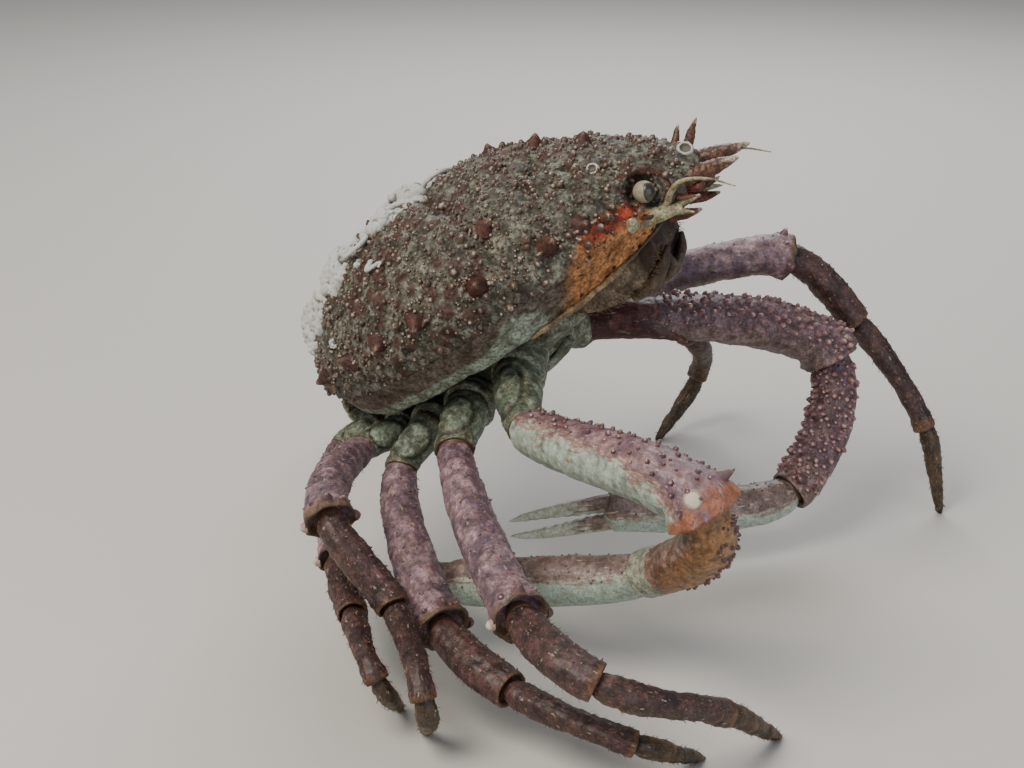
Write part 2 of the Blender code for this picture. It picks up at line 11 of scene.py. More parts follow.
import bpy
import numpy as np
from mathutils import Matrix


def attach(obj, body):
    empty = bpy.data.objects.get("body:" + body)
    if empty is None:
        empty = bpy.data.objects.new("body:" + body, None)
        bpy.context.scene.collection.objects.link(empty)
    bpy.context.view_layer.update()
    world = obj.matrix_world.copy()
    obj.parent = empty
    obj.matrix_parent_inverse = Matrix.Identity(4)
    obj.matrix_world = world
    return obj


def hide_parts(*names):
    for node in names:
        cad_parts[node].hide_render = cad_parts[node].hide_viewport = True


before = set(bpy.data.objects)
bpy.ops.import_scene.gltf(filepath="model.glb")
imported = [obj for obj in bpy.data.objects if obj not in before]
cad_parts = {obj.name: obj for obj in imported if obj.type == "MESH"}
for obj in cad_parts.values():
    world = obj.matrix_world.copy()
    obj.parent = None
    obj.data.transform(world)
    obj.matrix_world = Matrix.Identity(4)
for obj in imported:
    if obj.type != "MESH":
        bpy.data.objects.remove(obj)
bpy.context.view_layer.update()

# %% [markdown]
# ## The crab's own axes
#
# A crab is measured by its carapace, so places on the body are given in carapace lengths:
# `f` runs to the head, `l` to the crab's left and `u` out through its back. The body leans
# back by 35 degrees. One function turns such a place into metres in the room.

# %% Body axes
SHELL = 0.170                      # carapace length in metres
PITCH = math.radians(35)
MIDDLE = np.array([-0.012476, -0.010784, 0.123])   # middle of the carapace in the room
FORE = np.array([math.cos(PITCH), 0.0, math.sin(PITCH)])
LEFT = np.array([0.0, 1.0, 0.0])
OUT = np.array([-math.sin(PITCH), 0.0, math.cos(PITCH)])
SIGN = {"left": 1, "right": -1}     # which way l runs on each side


def axes(f, l, u):
    """The sum f * fore + l * left + u * out."""
    f, l, u = np.broadcast_arrays(np.asarray(f, float), l, u)
    return f[..., None] * FORE + l[..., None] * LEFT + u[..., None] * OUT


def body(f, l, u):
    """Places in the room for body coordinates: middle + carapace length * axes(f, l, u)."""
    return MIDDLE + SHELL * axes(f, l, u)


def unit(v):
    """Vectors scaled to length 1."""
    v = np.asarray(v, float)
    return v / np.maximum(np.linalg.norm(v, axis=-1, keepdims=True), 1e-12)


def body_way(f, l, u):
    """A direction given in body coordinates, as a unit vector in the room."""
    return unit(axes(f, l, u))


def mirrored(root, way, side):
    """A place and a direction, given for the left side, on the left (1) or the right (-1)."""
    return body(root[0], root[1] * side, root[2]), body_way(way[0], way[1] * side, way[2])


print("head end:", body(0.5, 0, 0).round(4), "rear end:", body(-0.5, 0, 0).round(4))

# %% [markdown]
# ## Ramps, humps and rings
#
# Most shapes and masks here are put together from the same few curves: a straight ramp, a
# smooth hump, and directions that run once round an axis.

# %% Curves that everything is made of


def ramp(x, start, run):
    """0 up to start, 1 from start + run on, straight in between. A negative run falls."""
    return np.clip((x - start) / run, 0, 1)


def between(x, low, high, run):
    """1 between low and high, and falling to 0 at both over the run."""
    return ramp(x, low, run) * ramp(x, high, -run)


def hump(x, centre, width):
    """A smooth rise to 1 at the centre: exp(-((x - centre) / width)^2)."""
    return np.exp(-((x - centre) / width) ** 2)


def squared(x, power):
    """A wave from -1 to 1 with fuller shoulders: sign(x) * |x|^power."""
    return np.sign(x) * np.abs(x) ** power


def turns(count):
    """Angles once round, evenly spaced."""
    return np.linspace(0, 2 * np.pi, count, endpoint=False)


def wheel(angle, one, other, flat=1.0):
    """Directions round an axis: cos(angle) * one + flat * sin(angle) * other."""
    return np.cos(angle)[..., None] * one + flat * np.sin(angle)[..., None] * other


def square_to(way, helper):
    """Two directions square to a way and to each other, found with a helper direction."""
    one = unit(np.cross(helper, way))
    return one, np.cross(way, one)


print("ramp:", ramp(np.arange(5), 1, 2), "hump:", hump(np.arange(3), 1, 1).round(2))

# %% [markdown]
# ## Noise and pebbles
#
# A grown shell is never even. Two patterns give all the unevenness: soft ripples, which are
# random values blended between the corners of a lattice, and pebbles, which are rounded
# grains around random hearts. Both take a real size in metres.

# %% Ripples and pebbles


def scramble(cells, seed):
    """Steady random numbers from 0 to 1 for lattice cells: multiply, xor and shift their bits."""
    c = cells.astype(np.int64).astype(np.uint32)
    n = (c[..., 0] * np.uint32(73856093)) ^ (c[..., 1] * np.uint32(19349663))
    n = n ^ (c[..., 2] * np.uint32(83492791)) ^ np.uint32(seed * 40503 + 977)
    for shift, factor in ((16, 0x7FEB352D), (15, 0x846CA68B)):
        n = (n ^ (n >> np.uint32(shift))) * np.uint32(factor)
    return (n ^ (n >> np.uint32(16))) / 4294967295.0


def ripple(points, size, seed=0):
    """Smooth noise from -1 to 1: the lattice corners' values, blended by 3s^2 - 2s^3."""
    q = points / size
    low = np.floor(q)
    s = q - low
    s = s * s * (3 - 2 * s)
    total = np.zeros(points.shape[:-1])
    for corner in np.ndindex(2, 2, 2):
        share = np.prod(np.where(corner, s, 1 - s), axis=-1)
        total += share * scramble(low + corner, seed)
    return total * 2 - 1


def pebbles(points, size, seed=0):
    """Rounded grains: 1 - (distance to the nearest random heart / 0.75)^2, not below 0."""
    q = points / size
    low = np.floor(q)
    near = np.full(points.shape[:-1], 9.0)
    for step in np.ndindex(3, 3, 3):
        cell = low + (np.array(step) - 1)
        heart = np.stack([scramble(cell, seed + k) for k in (1, 2, 3)], axis=-1)
        near = np.minimum(near, np.linalg.norm(q - cell - 0.15 - 0.7 * heart, axis=-1))
    return np.clip(1 - (near / 0.75) ** 2, 0, 1)


probe = body(np.linspace(-0.4, 0.4, 5), 0, 0.25)
print("ripple:", ripple(probe, 0.01).round(2), "pebbles:", pebbles(probe, 0.01).round(2))

# %% [markdown]
# ## From arrays to meshes
#
# Nearly every piece is a grid of points: rings of equal count, one after the other. The
# quads between them follow from the counts alone. A grid that stands for a closed body gets
# a fan of triangles at each end. The signed volume tells whether the faces point outwards.

# %% Grids and tubes


def grid_faces(rows, cols):
    """Quads between the neighbours of a grid whose rows are rings, numbered row by row."""
    i = np.arange(rows - 1)[:, None]
    j = np.arange(cols)[None, :]
    k = (j + 1) % cols
    quads = np.stack([i * cols + j, i * cols + k, (i + 1) * cols + k, (i + 1) * cols + j], axis=-1)
    return quads.reshape(-1, 4)


def closed(grid):
    """Points and faces of a closed body: the grid's quads and a fan at each end."""
    rows, cols = grid.shape[:2]
    points = np.concatenate([grid.reshape(-1, 3), grid[0].mean(0)[None], grid[-1].mean(0)[None]])
    j = np.arange(cols)
    k = (j + 1) % cols
    first = np.stack([np.full(cols, rows * cols), k, j], axis=-1)
    last = (rows - 1) * cols
    end = np.stack([np.full(cols, rows * cols + 1), last + j, last + k], axis=-1)
    return points, [grid_faces(rows, cols), first, end]


def ends_too(grid, mask):
    """A mask for a closed grid: a value for each point, and one for each of the two end points."""
    if np.ndim(mask) < 3:
        mask = np.broadcast_to(mask, grid.shape[:2])
    flat = mask.reshape(-1, *mask.shape[2:])
    return np.concatenate([flat, mask[0].mean(0)[None], mask[-1].mean(0)[None]])


def join(parts):
    """Several (points, faces) bodies as one, each turned outwards: its signed volume is positive."""
    points, faces, start = [], [], 0
    for p, fs in parts:
        volume = 0.0
        for f in fs:
            for a in range(1, f.shape[1] - 1):
                volume += np.einsum("ij,ij->", p[f[:, 0]], np.cross(p[f[:, a]], p[f[:, a + 1]]))
        points.append(p)
        faces += [(f if volume > 0 else f[:, ::-1]) + start for f in fs]
        start += len(p)
    return np.concatenate(points), faces


def normals(grid):
    """Unit normals of a grid from the differences of its neighbours, pointing away from its axis."""
    around = (np.roll(grid, -1, axis=1) - np.roll(grid, 1, axis=1)) / 2
    n = unit(np.cross(around, np.gradient(grid, axis=0)))
    away = grid - grid.mean(axis=1, keepdims=True)
    return n if np.einsum("ijk,ijk->", n, away) > 0 else -n


def from_axis(grid):
    """Directions from the middle of each ring to its points."""
    return unit(grid - grid.mean(axis=1, keepdims=True))


def raised(grid, height, way):
    """The grid with each point moved by its own height along its way."""
    return grid + height[..., None] * way


def flow(points, count):
    """A smooth path through the given points: Catmull-Rom pieces, evenly counted."""
    p = np.asarray(points, float)
    p = np.concatenate([[2 * p[0] - p[1]], p, [2 * p[-1] - p[-2]]])
    t = np.linspace(0, len(p) - 3, count)
    i = np.minimum(t.astype(int), len(p) - 4)
    s = (t - i)[:, None]
    a, b, c, d = p[i], p[i + 1], p[i + 2], p[i + 3]
    return 0.5 * (2 * b + (c - a) * s + (2 * a - 5 * b + 4 * c - d) * s**2
                  + (3 * b - a - 3 * c + d) * s**3)


def tube(path, radii, sides, up=(0, 0, 1), flat=1.0):
    """A grid of rings along a path: centre + radius * (cos * side + flat * sin * up)."""
    side, other = square_to(unit(np.gradient(path, axis=0)), np.asarray(up, float))
    r = np.asarray(radii, float)[:, None, None]
    return path[:, None, :] + r * wheel(turns(sides), side[:, None], other[:, None], flat)


def pick(grid, i, j):
    """Values of a grid between its points: blends the four neighbours, going round its columns."""
    rows, cols = grid.shape[:2]
    i = np.clip(i, 0, rows - 1.001)
    a, b = np.floor(i).astype(int), np.floor(j).astype(int)
    s, t = (i - a)[:, None], (j - b)[:, None]
    return ((1 - s) * (1 - t) * grid[a, b % cols] + (1 - s) * t * grid[a, (b + 1) % cols]
            + s * (1 - t) * grid[a + 1, b % cols] + s * t * grid[a + 1, (b + 1) % cols])


# %% Meshes
made = []


def piece(name, points, faces, finish, slot, replaces=(), **masks):
    """A mesh object from arrays, with its masks as attributes, riding on the crab's one body."""
    mesh = bpy.data.meshes.new(name)
    mesh.vertices.add(len(points))
    mesh.vertices.foreach_set("co", np.asarray(points, np.float32).ravel())
    corners = np.concatenate([f.ravel() for f in faces]).astype(np.int32)
    sizes = np.concatenate([np.full(len(f), f.shape[1]) for f in faces])
    mesh.loops.add(len(corners))
    mesh.loops.foreach_set("vertex_index", corners)
    mesh.polygons.add(len(sizes))
    mesh.polygons.foreach_set("loop_start", (np.cumsum(sizes) - sizes).astype(np.int32))
    mesh.update(calc_edges=True)
    skin = mesh.attributes.new("skin", "FLOAT_VECTOR", "POINT")
    skin.data.foreach_set("vector", np.asarray(masks.pop("skin", points), np.float32).ravel())
    for key, values in masks.items():
        layer = mesh.attributes.new(key, "FLOAT", "POINT")
        layer.data.foreach_set("value", np.asarray(values, np.float32).ravel())
    mesh.shade_smooth()
    mesh.materials.append(finish)
    obj = bpy.data.objects.new(name, mesh)
    bpy.context.scene.collection.objects.link(obj)
    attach(obj, "root")
    if replaces:
        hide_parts(*replaces)
    made.append((name, int((sizes - 2).sum())))


def solid_piece(name, parts, finish, slot, replaces=()):
    """A piece from (grid, masks) pairs: each grid closed, turned outwards and joined to the rest."""
    points, faces = join([closed(grid) for grid, masks in parts])
    masks = {key: np.concatenate([ends_too(grid, each[key]) for grid, each in parts])
             for key in parts[0][1]}
    piece(name, points, faces, finish, slot, replaces, **masks)


def tell(what):
    """Prints what is done and how many triangles there are by now."""
    print(what, "done, triangles so far:", sum(n for _, n in made))


# %% [markdown]
# ## Thorns and beads
#
# A spider crab's shell is set with thousands of small spines and round beads. Each one is a
# few rings of points with a closing point. All that stand on a piece are worked out together
# as one array, and the levels say how wide each ring is and so how pointed the shape.

# %% Many thorns at once
SHARP = ((-0.25, 1.15), (0.30, 0.66), (0.75, 0.30))
BEAD = ((-0.25, 1.05), (0.30, 0.96), (0.66, 0.72), (0.90, 0.36))
STOUT = ((-0.25, 1.25), (0.0, 1.05), (0.22, 0.80), (0.45, 0.62), (0.68, 0.44), (0.86, 0.26))
BRISTLE = ((-0.1, 1.0), (0.6, 0.7))


def thorns(roots, ways, lengths, widths, sides=5, levels=SHARP):
    """Rings at the levels' heights and shares of the width, and a tip: root + way * height * length."""
    roots, ways = np.asarray(roots, float), unit(ways)
    count, steps = len(roots), len(levels)
    lengths, widths = (np.broadcast_to(np.asarray(v, float), (count,))[:, None, None, None]
                       for v in (lengths, widths))
    helper = np.where(np.abs(ways[:, 2:3]) < 0.8, [[0.0, 0.0, 1.0]], [[1.0, 0.0, 0.0]])
    side, other = square_to(ways, helper)
    height, share = (np.array(v)[None, :, None, None] for v in zip(*levels))
    centre = roots[:, None, None, :] + ways[:, None, None, :] * height * lengths
    rings = centre + share * widths * wheel(turns(sides), side[:, None, None], other[:, None, None])
    apex = roots + ways * lengths[:, 0, 0]
    points = np.concatenate([rings.reshape(count, -1, 3), apex[:, None]], axis=1).reshape(-1, 3)
    quads = grid_faces(steps, sides)
    j = np.arange(sides)
    last = (steps - 1) * sides
    tips = np.stack([last + j, last + (j + 1) % sides, np.full(sides, steps * sides)], axis=-1)
    start = (np.arange(count) * (steps * sides + 1))[:, None, None]
    faces = [(quads[None] + start).reshape(-1, 4), (tips[None] + start).reshape(-1, 3)]
    tip = np.concatenate([np.repeat(np.clip(height.ravel(), 0, 1), sides), [1.0]])
    return points, faces, np.tile(tip, count)


def thorn_piece(name, sets, finish, slot):
    """A piece from several sets of thorns, with their tip mask from 0 at the root to 1."""
    starts = np.cumsum([0] + [len(points) for points, _, _ in sets])
    faces = [f + start for (_, fs, _), start in zip(sets, starts) for f in fs]
    piece(name, np.concatenate([s[0] for s in sets]), faces, finish, slot,
          tip=np.concatenate([s[2] for s in sets]))


def scatter(count, seed):
    """Even but irregular pairs from 0 to 1: steps of the golden ratio with a little shake."""
    golden = 0.6180339887
    rng = np.random.default_rng(seed)
    k = np.arange(count)
    a = (k + 0.5) / count + rng.uniform(-0.6, 0.6, count) / math.sqrt(count) * 0.5
    b = (k * golden + rng.uniform(-0.5, 0.5, count) / math.sqrt(count)) % 1.0
    return np.clip(a, 0, 1), b


print("points of one bead:", len(thorns([[0, 0, 0]], [[0, 0, 1]], 1, 1, levels=BEAD)[0]))

# %% [markdown]
# ## Finishes
#
# The shell is lime and chitin. In life it is matt, because silt, algae and short hairs hold
# on to it, and only worn knobs and the eyes shine. Colours are given as they look on a
# screen, and one function turns them to the linear values that light is added up in.

# %% Colour and node helpers
MIX = {"data_type": "RGBA"}        # a Mix node for colours: inputs 0, 6 and 7, output 2
SMOOTH = {"interpolation_type": "SMOOTHSTEP"}


def colour(code):
    """Linear red, green, blue and alpha from an sRGB hex code."""
    parts = [int(code[i:i + 2], 16) / 255 for i in (1, 3, 5)]
    return (*[c / 12.92 if c <= 0.04045 else ((c + 0.055) / 1.055) ** 2.4 for c in parts], 1.0)


def add(tree, kind, settings=None, values=None, links=None):
    """Adds one node with its settings, its fixed input values and its links."""
    node = tree.nodes.new("ShaderNode" + kind)
    for key, value in (settings or {}).items():
        setattr(node, key, value)
    for key, value in (values or {}).items():
        node.inputs[key].default_value = value
    for key, socket in (links or {}).items():
        tree.links.new(socket, node.inputs[key])
    return node


def blank(name):
    """A new material with only its shader and output, and the object's own coordinates."""
    mat = bpy.data.materials.new(name)
    mat.use_nodes = True
    tree = mat.node_tree
    return mat, tree, add(tree, "TexCoord").outputs["Object"]


def varied(tree, base, place, low, clouds_mm=3.2):
    """The colour multiplied by two noises, so that no patch keeps one even tone."""
    for size, detail in ((clouds_mm, 6.0), (clouds_mm * 0.28, 3.0)):
        noise = add(tree, "TexNoise", values={"Scale": 1000 / size, "Detail": detail,
                                              "Roughness": 0.65}, links={"Vector": place})
        light = add(tree, "MapRange", values={1: 0.38, 2: 0.60}, links={0: noise.outputs["Fac"]})
        shade = add(tree, "Mix", MIX, {6: colour(low), 7: colour("#ffffff")},
                    {0: light.outputs[0]}).outputs[2]
        base = add(tree, "Mix", {**MIX, "blend_type": "MULTIPLY"}, {0: 1.0},
                   {6: base, 7: shade}).outputs[2]
    return base


def masked(tree, base, mask, code, noise, low, high, spread=0.8, most=1.0):
    """Mixes a colour in where a mask is high, with a border made ragged by noise."""
    value = add(tree, "Attribute", {"attribute_name": mask}).outputs["Fac"]
    shake = add(tree, "Math", {"operation": "MULTIPLY_ADD"}, {1: spread, 2: -spread / 2},
                {0: noise}).outputs[0]
    edge = add(tree, "Math", {"operation": "ADD"}, None, {0: value, 1: shake}).outputs[0]
    share = add(tree, "MapRange", SMOOTH, {1: low, 2: high, 4: most}, {0: edge}).outputs[0]
    return add(tree, "Mix", MIX, {7: colour(code)}, {0: share, 6: base}).outputs[2]


def flecked(tree, base, noise, code, start, end, most=0.8):
    """Mixes a colour in where a noise passes from start to end."""
    share = add(tree, "MapRange", values={1: start, 2: end, 4: most}, links={0: noise}).outputs[0]
    return add(tree, "Mix", MIX, {7: colour(code)}, {0: share, 6: base}).outputs[2]


def dress(tree, base, pattern, shine, height=None, strength=0, relief_mm=0):
    """Links the shader to a colour, a roughness that follows a pattern, and a bump."""
    shader = tree.nodes["Principled BSDF"]
    tree.links.new(base, shader.inputs["Base Color"])
    rough = add(tree, "MapRange", values={3: shine[0], 4: shine[1]}, links={0: pattern})
    tree.links.new(rough.outputs[0], shader.inputs["Roughness"])
    if height is not None:
        bump = add(tree, "Bump", values={"Strength": strength, "Distance": relief_mm / 1000},
                   links={"Height": height})
        tree.links.new(bump.outputs[0], shader.inputs["Normal"])
    return shader


def grained(name, dark, light, grain, shine, relief, over=None, vary=None, shine_mask=None):
    """Two tones mixed by a noise (millimetres, detail, roughness), a third colour over them where
    a mask is high, patches, a roughness range, and a bump (strength, millimetres)."""
    mat, tree, place = blank(name)
    size, detail, rough = grain
    tone = add(tree, "TexNoise", values={"Scale": 1000 / size, "Detail": detail, "Roughness": rough},
               links={"Vector": place}).outputs["Fac"]
    base = add(tree, "Mix", MIX, {6: colour(dark), 7: colour(light)}, {0: tone}).outputs[2]
    if over:
        base = masked(tree, base, *over[:2], tone, *over[2:])
    if vary:
        base = varied(tree, base, place, *vary)
    pattern = tone
    if shine_mask:
        pattern = add(tree, "Attribute", {"attribute_name": shine_mask}).outputs["Fac"]
    dress(tree, base, pattern, shine, tone, *relief)
    return mat


print("mid grey in linear light:", round(colour("#808080")[0], 3))

# %% [markdown]
# ## The shell's common finish
#
# Limbs, feelers, mouth and chest all wear the same kind of shell: soft clouds of two tones,
# with scratches along the piece where rust or cream shows. The underside, the worn ends and
# the dirt and painted shade in the hollows are marked by masks that each mesh carries. The
# clouds are about 7 mm wide, the scratches about 1 mm.

# %% Grown shell
CREAM = "#d8c8ae"                   # bare lime where the shell is scratched
PLAIN = {"belly": 0, "ends": 0, "hollow": 0, "streak": 0}      # the masks that this finish reads


def grown_shell(name, dark, light, rust, belly, ends, fleck_mm=1.2, rough=0.48,
                grime_and_shade="#2e2820", low="#b3aca2", border=None):
    """Hard grown shell: clouds of two tones, rust and cream scratches that run along the piece,
    and masks for its belly, its ends and the dirt and painted shade in its hollows."""
    mat, tree, place = blank(name)
    skin = add(tree, "Attribute", {"attribute_name": "skin"}).outputs["Vector"]
    cloud = add(tree, "TexNoise", values={"Scale": 1000 / 7.0, "Detail": 3.0, "Roughness": 0.6},
                links={"Vector": place}).outputs["Fac"]
    steep = add(tree, "MapRange", values={1: 0.40, 2: 0.60}, links={0: cloud}).outputs[0]
    base = add(tree, "Mix", MIX, {6: colour(dark), 7: colour(light)}, {0: steep}).outputs[2]
    streak = add(tree, "Attribute", {"attribute_name": "streak"}).outputs["Fac"]
    streaky = add(tree, "Math", {"operation": "MULTIPLY"}, {1: 0.7}, {0: streak}).outputs[0]
    base = add(tree, "Mix", MIX, {7: colour(dark)}, {0: streaky, 6: base}).outputs[2]
    scratch = add(tree, "TexNoise", values={"Scale": 1000 / fleck_mm, "Detail": 4.0,
                                            "Roughness": 0.55}, links={"Vector": skin}).outputs["Fac"]
    base = flecked(tree, base, scratch, rust, 0.56, 0.64, 0.5)
    base = flecked(tree, base, scratch, CREAM, 0.365, 0.325)
    layers = [("belly", border, 0.20)] if border else []
    for mask, code, start in layers + [("belly", belly, 0.36), ("ends", ends, 0.36)]:
        base = masked(tree, base, mask, code, scratch, start, start + 0.38, 1.5, 0.88)
    base = varied(tree, base, place, low)
    # the hollow mask mixes in the grime colour: real dirt, and painted shade where a mesh marks a dark
    # recess
    hollow = add(tree, "Attribute", {"attribute_name": "hollow"}).outputs["Fac"]
    dirt_and_shade = add(tree, "Math", {"operation": "MULTIPLY"}, None, {0: hollow, 1: cloud}).outputs[0]
    base = add(tree, "Mix", MIX, {7: colour(grime_and_shade)}, {0: dirt_and_shade, 6: base}).outputs[2]
    pores = add(tree, "TexVoronoi", values={"Scale": 1000 / 1.1}, links={"Vector": place})
    height = add(tree, "Math", {"operation": "MULTIPLY_ADD"}, {1: 0.8},
                 {0: scratch, 2: pores.outputs["Distance"]}).outputs[0]
    dress(tree, base, scratch, (rough - 0.10, rough + 0.16), height, 0.9, 0.12)
    return mat


# Mauve shell of the upper legs: pink and purple clouds, rust and cream scratches
leg_mauve = grown_shell("mauve leg shell", "#7b6576", "#c9a8b4", "#a0664f", "#b79a7c", "#86694e",
                        low="#cbc5bd")
# Dark maroon-brown shell of the lower legs, with tan where it is worn at the ends
leg_maroon = grown_shell("maroon leg shell", "#412a2e", "#775352", "#8f6650", "#7c5c44", "#8a6448")
# Mauve claw arms; the right one has a mint underside and orange joints, the left one stays mauve
claw_mint = grown_shell("mint and mauve claw shell", "#7a6070", "#b4939c", "#b0704f", "#bfd8cb",
                        "#c47c58", rough=0.42, border="#bd8a78", low="#dcd8d2")
claw_knee = grown_shell("orange claw knee", "#866254", "#bda294", "#b0663c", "#c39360", "#cbd6c2",
                        rough=0.42, border="#9c6647", low="#c9c2b8")
claw_mauve = grown_shell("mauve claw shell", "#755868", "#b08c98", "#9a6a60", "#a08984",
                         "#a38680", rough=0.42)
# The claw hands: brown-purple above, mint below, paler fingers
claw_hand = grown_shell("claw hand shell", "#6f5c5a", "#a08c88", "#8a6a58", "#bdd6ca", "#cdd6c8",
                        rough=0.42, border="#a78a7c", low="#d6d2cb")
# Horn-brown leg tips, polished dark by walking
leg_tip = grown_shell("horn leg tip", "#3a2d20", "#745236", "#8a6a42", "#5a4630", "#1a1713",
                      rough=0.40)
# Green-grey chest plates and sage hips, with rust in the folds
chest_shell = grown_shell("green-grey chest shell", "#6b7663", "#adb8a2", "#80573c", "#adb7a2",
                          "#b4bba6", rough=0.5)
base_shell = grown_shell("sage hip shell", "#6a7c69", "#aec0ab", "#86583c", "#a2b19c", "#8a7d62",
                         fleck_mm=1.8)
# Dark red root of the left claw, a warm spot in the shade under the head
dark_red = grown_shell("dark red claw root", "#552a2e", "#8a5254", "#9a6458", "#6a3e3e", "#8a5a52")
print("finishes so far:", [m.name for m in bpy.data.materials])

# %% [markdown]
# ## The carapace
#
# The carapace is a pear-shaped shield, widest behind its middle and narrow at the head. It
# is one closed grid here. Each row is a cross-section: the domed back from the right margin
# to the left one, then the underside back again. The cross-sections come from a short table
# of widths and heights, blended smoothly along the body.

# %% Carapace cross-sections
# f, half width, height of the back, depth below the margin, half width of the flat underside
STATIONS = np.array((
    (-0.50, .055, .045, .020, .030), (-0.47, .135, .100, .045, .090),
    (-0.41, .225, .165, .082, .170), (-0.30, .315, .230, .112, .250),
    (-0.15, .378, .254, .120, .300), (0.00, .392, .254, .120, .305),
    (0.07, .384, .244, .118, .285), (0.12, .368, .232, .116, .262),
    (0.24, .300, .188, .108, .188), (0.33, .222, .146, .090, .128),
    (0.40, .160, .108, .064, .088), (0.46, .108, .068, .038, .056),
    (0.50, .074, .040, .024, .036), (0.53, .052, .018, .020, .030)))


def measure(column, f):
    """A column of the table at f, averaged over a short window so that no corner shows."""
    spread = np.asarray(f, float)[..., None] + np.linspace(-0.03, 0.03, 9)
    return np.interp(spread, STATIONS[:, 0], STATIONS[:, column]).mean(-1)


def snout(f):
    """The share of the width and height that is left where the shell narrows to the horns."""
    return 1 - 0.42 * ramp(np.asarray(f, float), 0.425, 0.075) ** 1.3


def mouth_trough(f):
    """How deep the trough that holds the mouth plates is: none behind f = 0.08 and past 0.46."""
    return np.interp(f, (0.08, 0.13, 0.33, 0.40, 0.46), (0, .030, .030, .012, 0))


def back_point(f, a):
    """The smooth back at angle a, from 0 at the right margin to pi at the left one."""
    return body(f, -measure(1, f) * snout(f) * np.cos(a),
                measure(2, f) * snout(f) * np.sin(a).clip(0) ** 0.92)


rows, cols_back, cols_under = 300, 190, 96
fs = np.interp(np.linspace(0, 1, rows), (0, .06, .55, 1), (-0.5, -0.47, 0.08, 0.508))
back = back_point(fs[:, None], np.linspace(0, np.pi, cols_back))
w, d, flat = measure(1, fs) * snout(fs), measure(3, fs), measure(4, fs) * snout(fs)
groove = np.minimum(.092, flat * 0.82)
trough = d - mouth_trough(fs)
half_l = np.stack([w, w * .94, flat + .16 * (w - flat), flat, groove * 1.06, groove * .94,
                   groove * 0], axis=1)
half_u = -np.stack([d * 0, d * .42, d * .86, d, d, trough, trough], axis=1)
profile_l = np.concatenate([half_l, -half_l[:, -2::-1]], axis=1)
profile_u = np.concatenate([half_u, half_u[:, -2::-1]], axis=1)
corners = profile_l.shape[1]
along = np.linspace(0, corners - 1, cols_under + 2)[1:-1]
under_l, under_u = (np.stack([np.interp(along, np.arange(corners), row) for row in profile])
                    for profile in (profile_l, profile_u))
for _ in range(2):                  # round the corners of the underside
    for profile in (under_l, under_u):
        profile[:, 1:-1] = (profile[:, :-2] + 2 * profile[:, 1:-1] + profile[:, 2:]) / 4
smooth = np.concatenate([back, body(fs[:, None], under_l, under_u)], axis=1)
print("carapace grid:", smooth.shape[:2])

# %% [markdown]
# The smooth shield then gets its relief. Regions swell on the back and furrows sink between
# them, pebbles and ripples lie over both, and a fold runs along the flank. Each eye sits in
# a round pit. What is deep, rough or underneath also gives the masks for the finish.

# %% Carapace relief


def to_line(f, l, line):
    """Distance from places on the back to a chain of straight pieces."""
    best = np.full(np.broadcast(f, l).shape, 9.0)
    for (fa, la), (fb, lb) in zip(line, line[1:]):
        df, dl = fb - fa, lb - la
        t = np.clip(((f - fa) * df + (l - la) * dl) / (df * df + dl * dl), 0, 1)
        best = np.minimum(best, np.hypot(f - fa - t * df, l - la - t * dl))
    return best


def reach_along(points, way):
    """How far places lie from the carapace's middle along one of its axes, in its lengths."""
    return (points - MIDDLE) @ way / SHELL


# Places (f, l), width and height in mm of the swollen regions, then the furrows between them
REGIONS = ((.14, 0, .12, 2.4), (-.14, .24, .15, 1.8), (-.13, 0, .075, 2.2), (.19, .25, .07, 1.6),
           (-.37, 0, .08, 1.5), (.03, .30, .08, 1.2))
GROOVES = (((.17, .36), (.09, .25), (.00, .16), (-.04, .07), (-.05, .0)),
           ((-.04, .07), (-.12, .11), (-.22, .09), (-.31, .045), (-.33, .0)),
           ((.27, .27), (.22, .17), (.24, .09)))
EYE_ROOT, EYE_WAY = (0.397, 0.088, 0.002), (0.50, 0.80, 0.22)

f_all = np.broadcast_to(fs[:, None], smooth.shape[:2])
l_all, u_all = reach_along(smooth, LEFT), reach_along(smooth, OUT)
abs_l = np.abs(l_all)
drop = -u_all / d[:, None]           # 0 at the margin, 1 at the lower edge of the flank
below = np.arange(smooth.shape[1]) >= cols_back
is_under = ramp(drop, 0.42, 0.08) * below
above = u_all.clip(0) / measure(2, fs)[:, None]
wild = ramp(f_all, 0.04, 0.2) * ramp(u_all, 0.05, -0.03)       # the calmer shell beside the mouth
rough_part = (1 - is_under) * (1 - 0.75 * wild)
furrows = [to_line(f_all, abs_l, line) for line in GROOVES]
relief = sum(high * hump(np.hypot(f_all - fc, abs_l - lc), 0, wide) for fc, lc, wide, high in REGIONS)
relief = relief - 2.6 * sum(hump(furrow, 0, 0.020) for furrow in furrows)
relief = relief / 1000 * np.clip(above * 2.5, 0, 1) * (1 - is_under)
coarse = pebbles(smooth, 0.0066, 3)
grain = pebbles(smooth, 0.0029, 8)
relief += rough_part * (coarse * 0.0015 + grain * 0.0007 - 0.0009)
relief += ripple(smooth, 0.004, 2) * 0.0004 + ripple(smooth, 0.013, 5) * 0.0007
relief += is_under * (grain - 0.3) * 0.0003
crease = hump(drop, 0.47, 0.05) * ramp(f_all, 0.30, -0.08)
relief -= 0.0009 * crease * below
pocket = is_under * between(f_all, 0.325, 0.435, 0.03) * ramp(abs_l, 0.105, -0.03)
relief -= 0.0035 * pocket            # the dark pocket between the feelers and the mouth plates
relief *= between(fs, -0.5, 0.508, 0.03)[:, None]
shell_grid = raised(smooth, relief, normals(smooth))
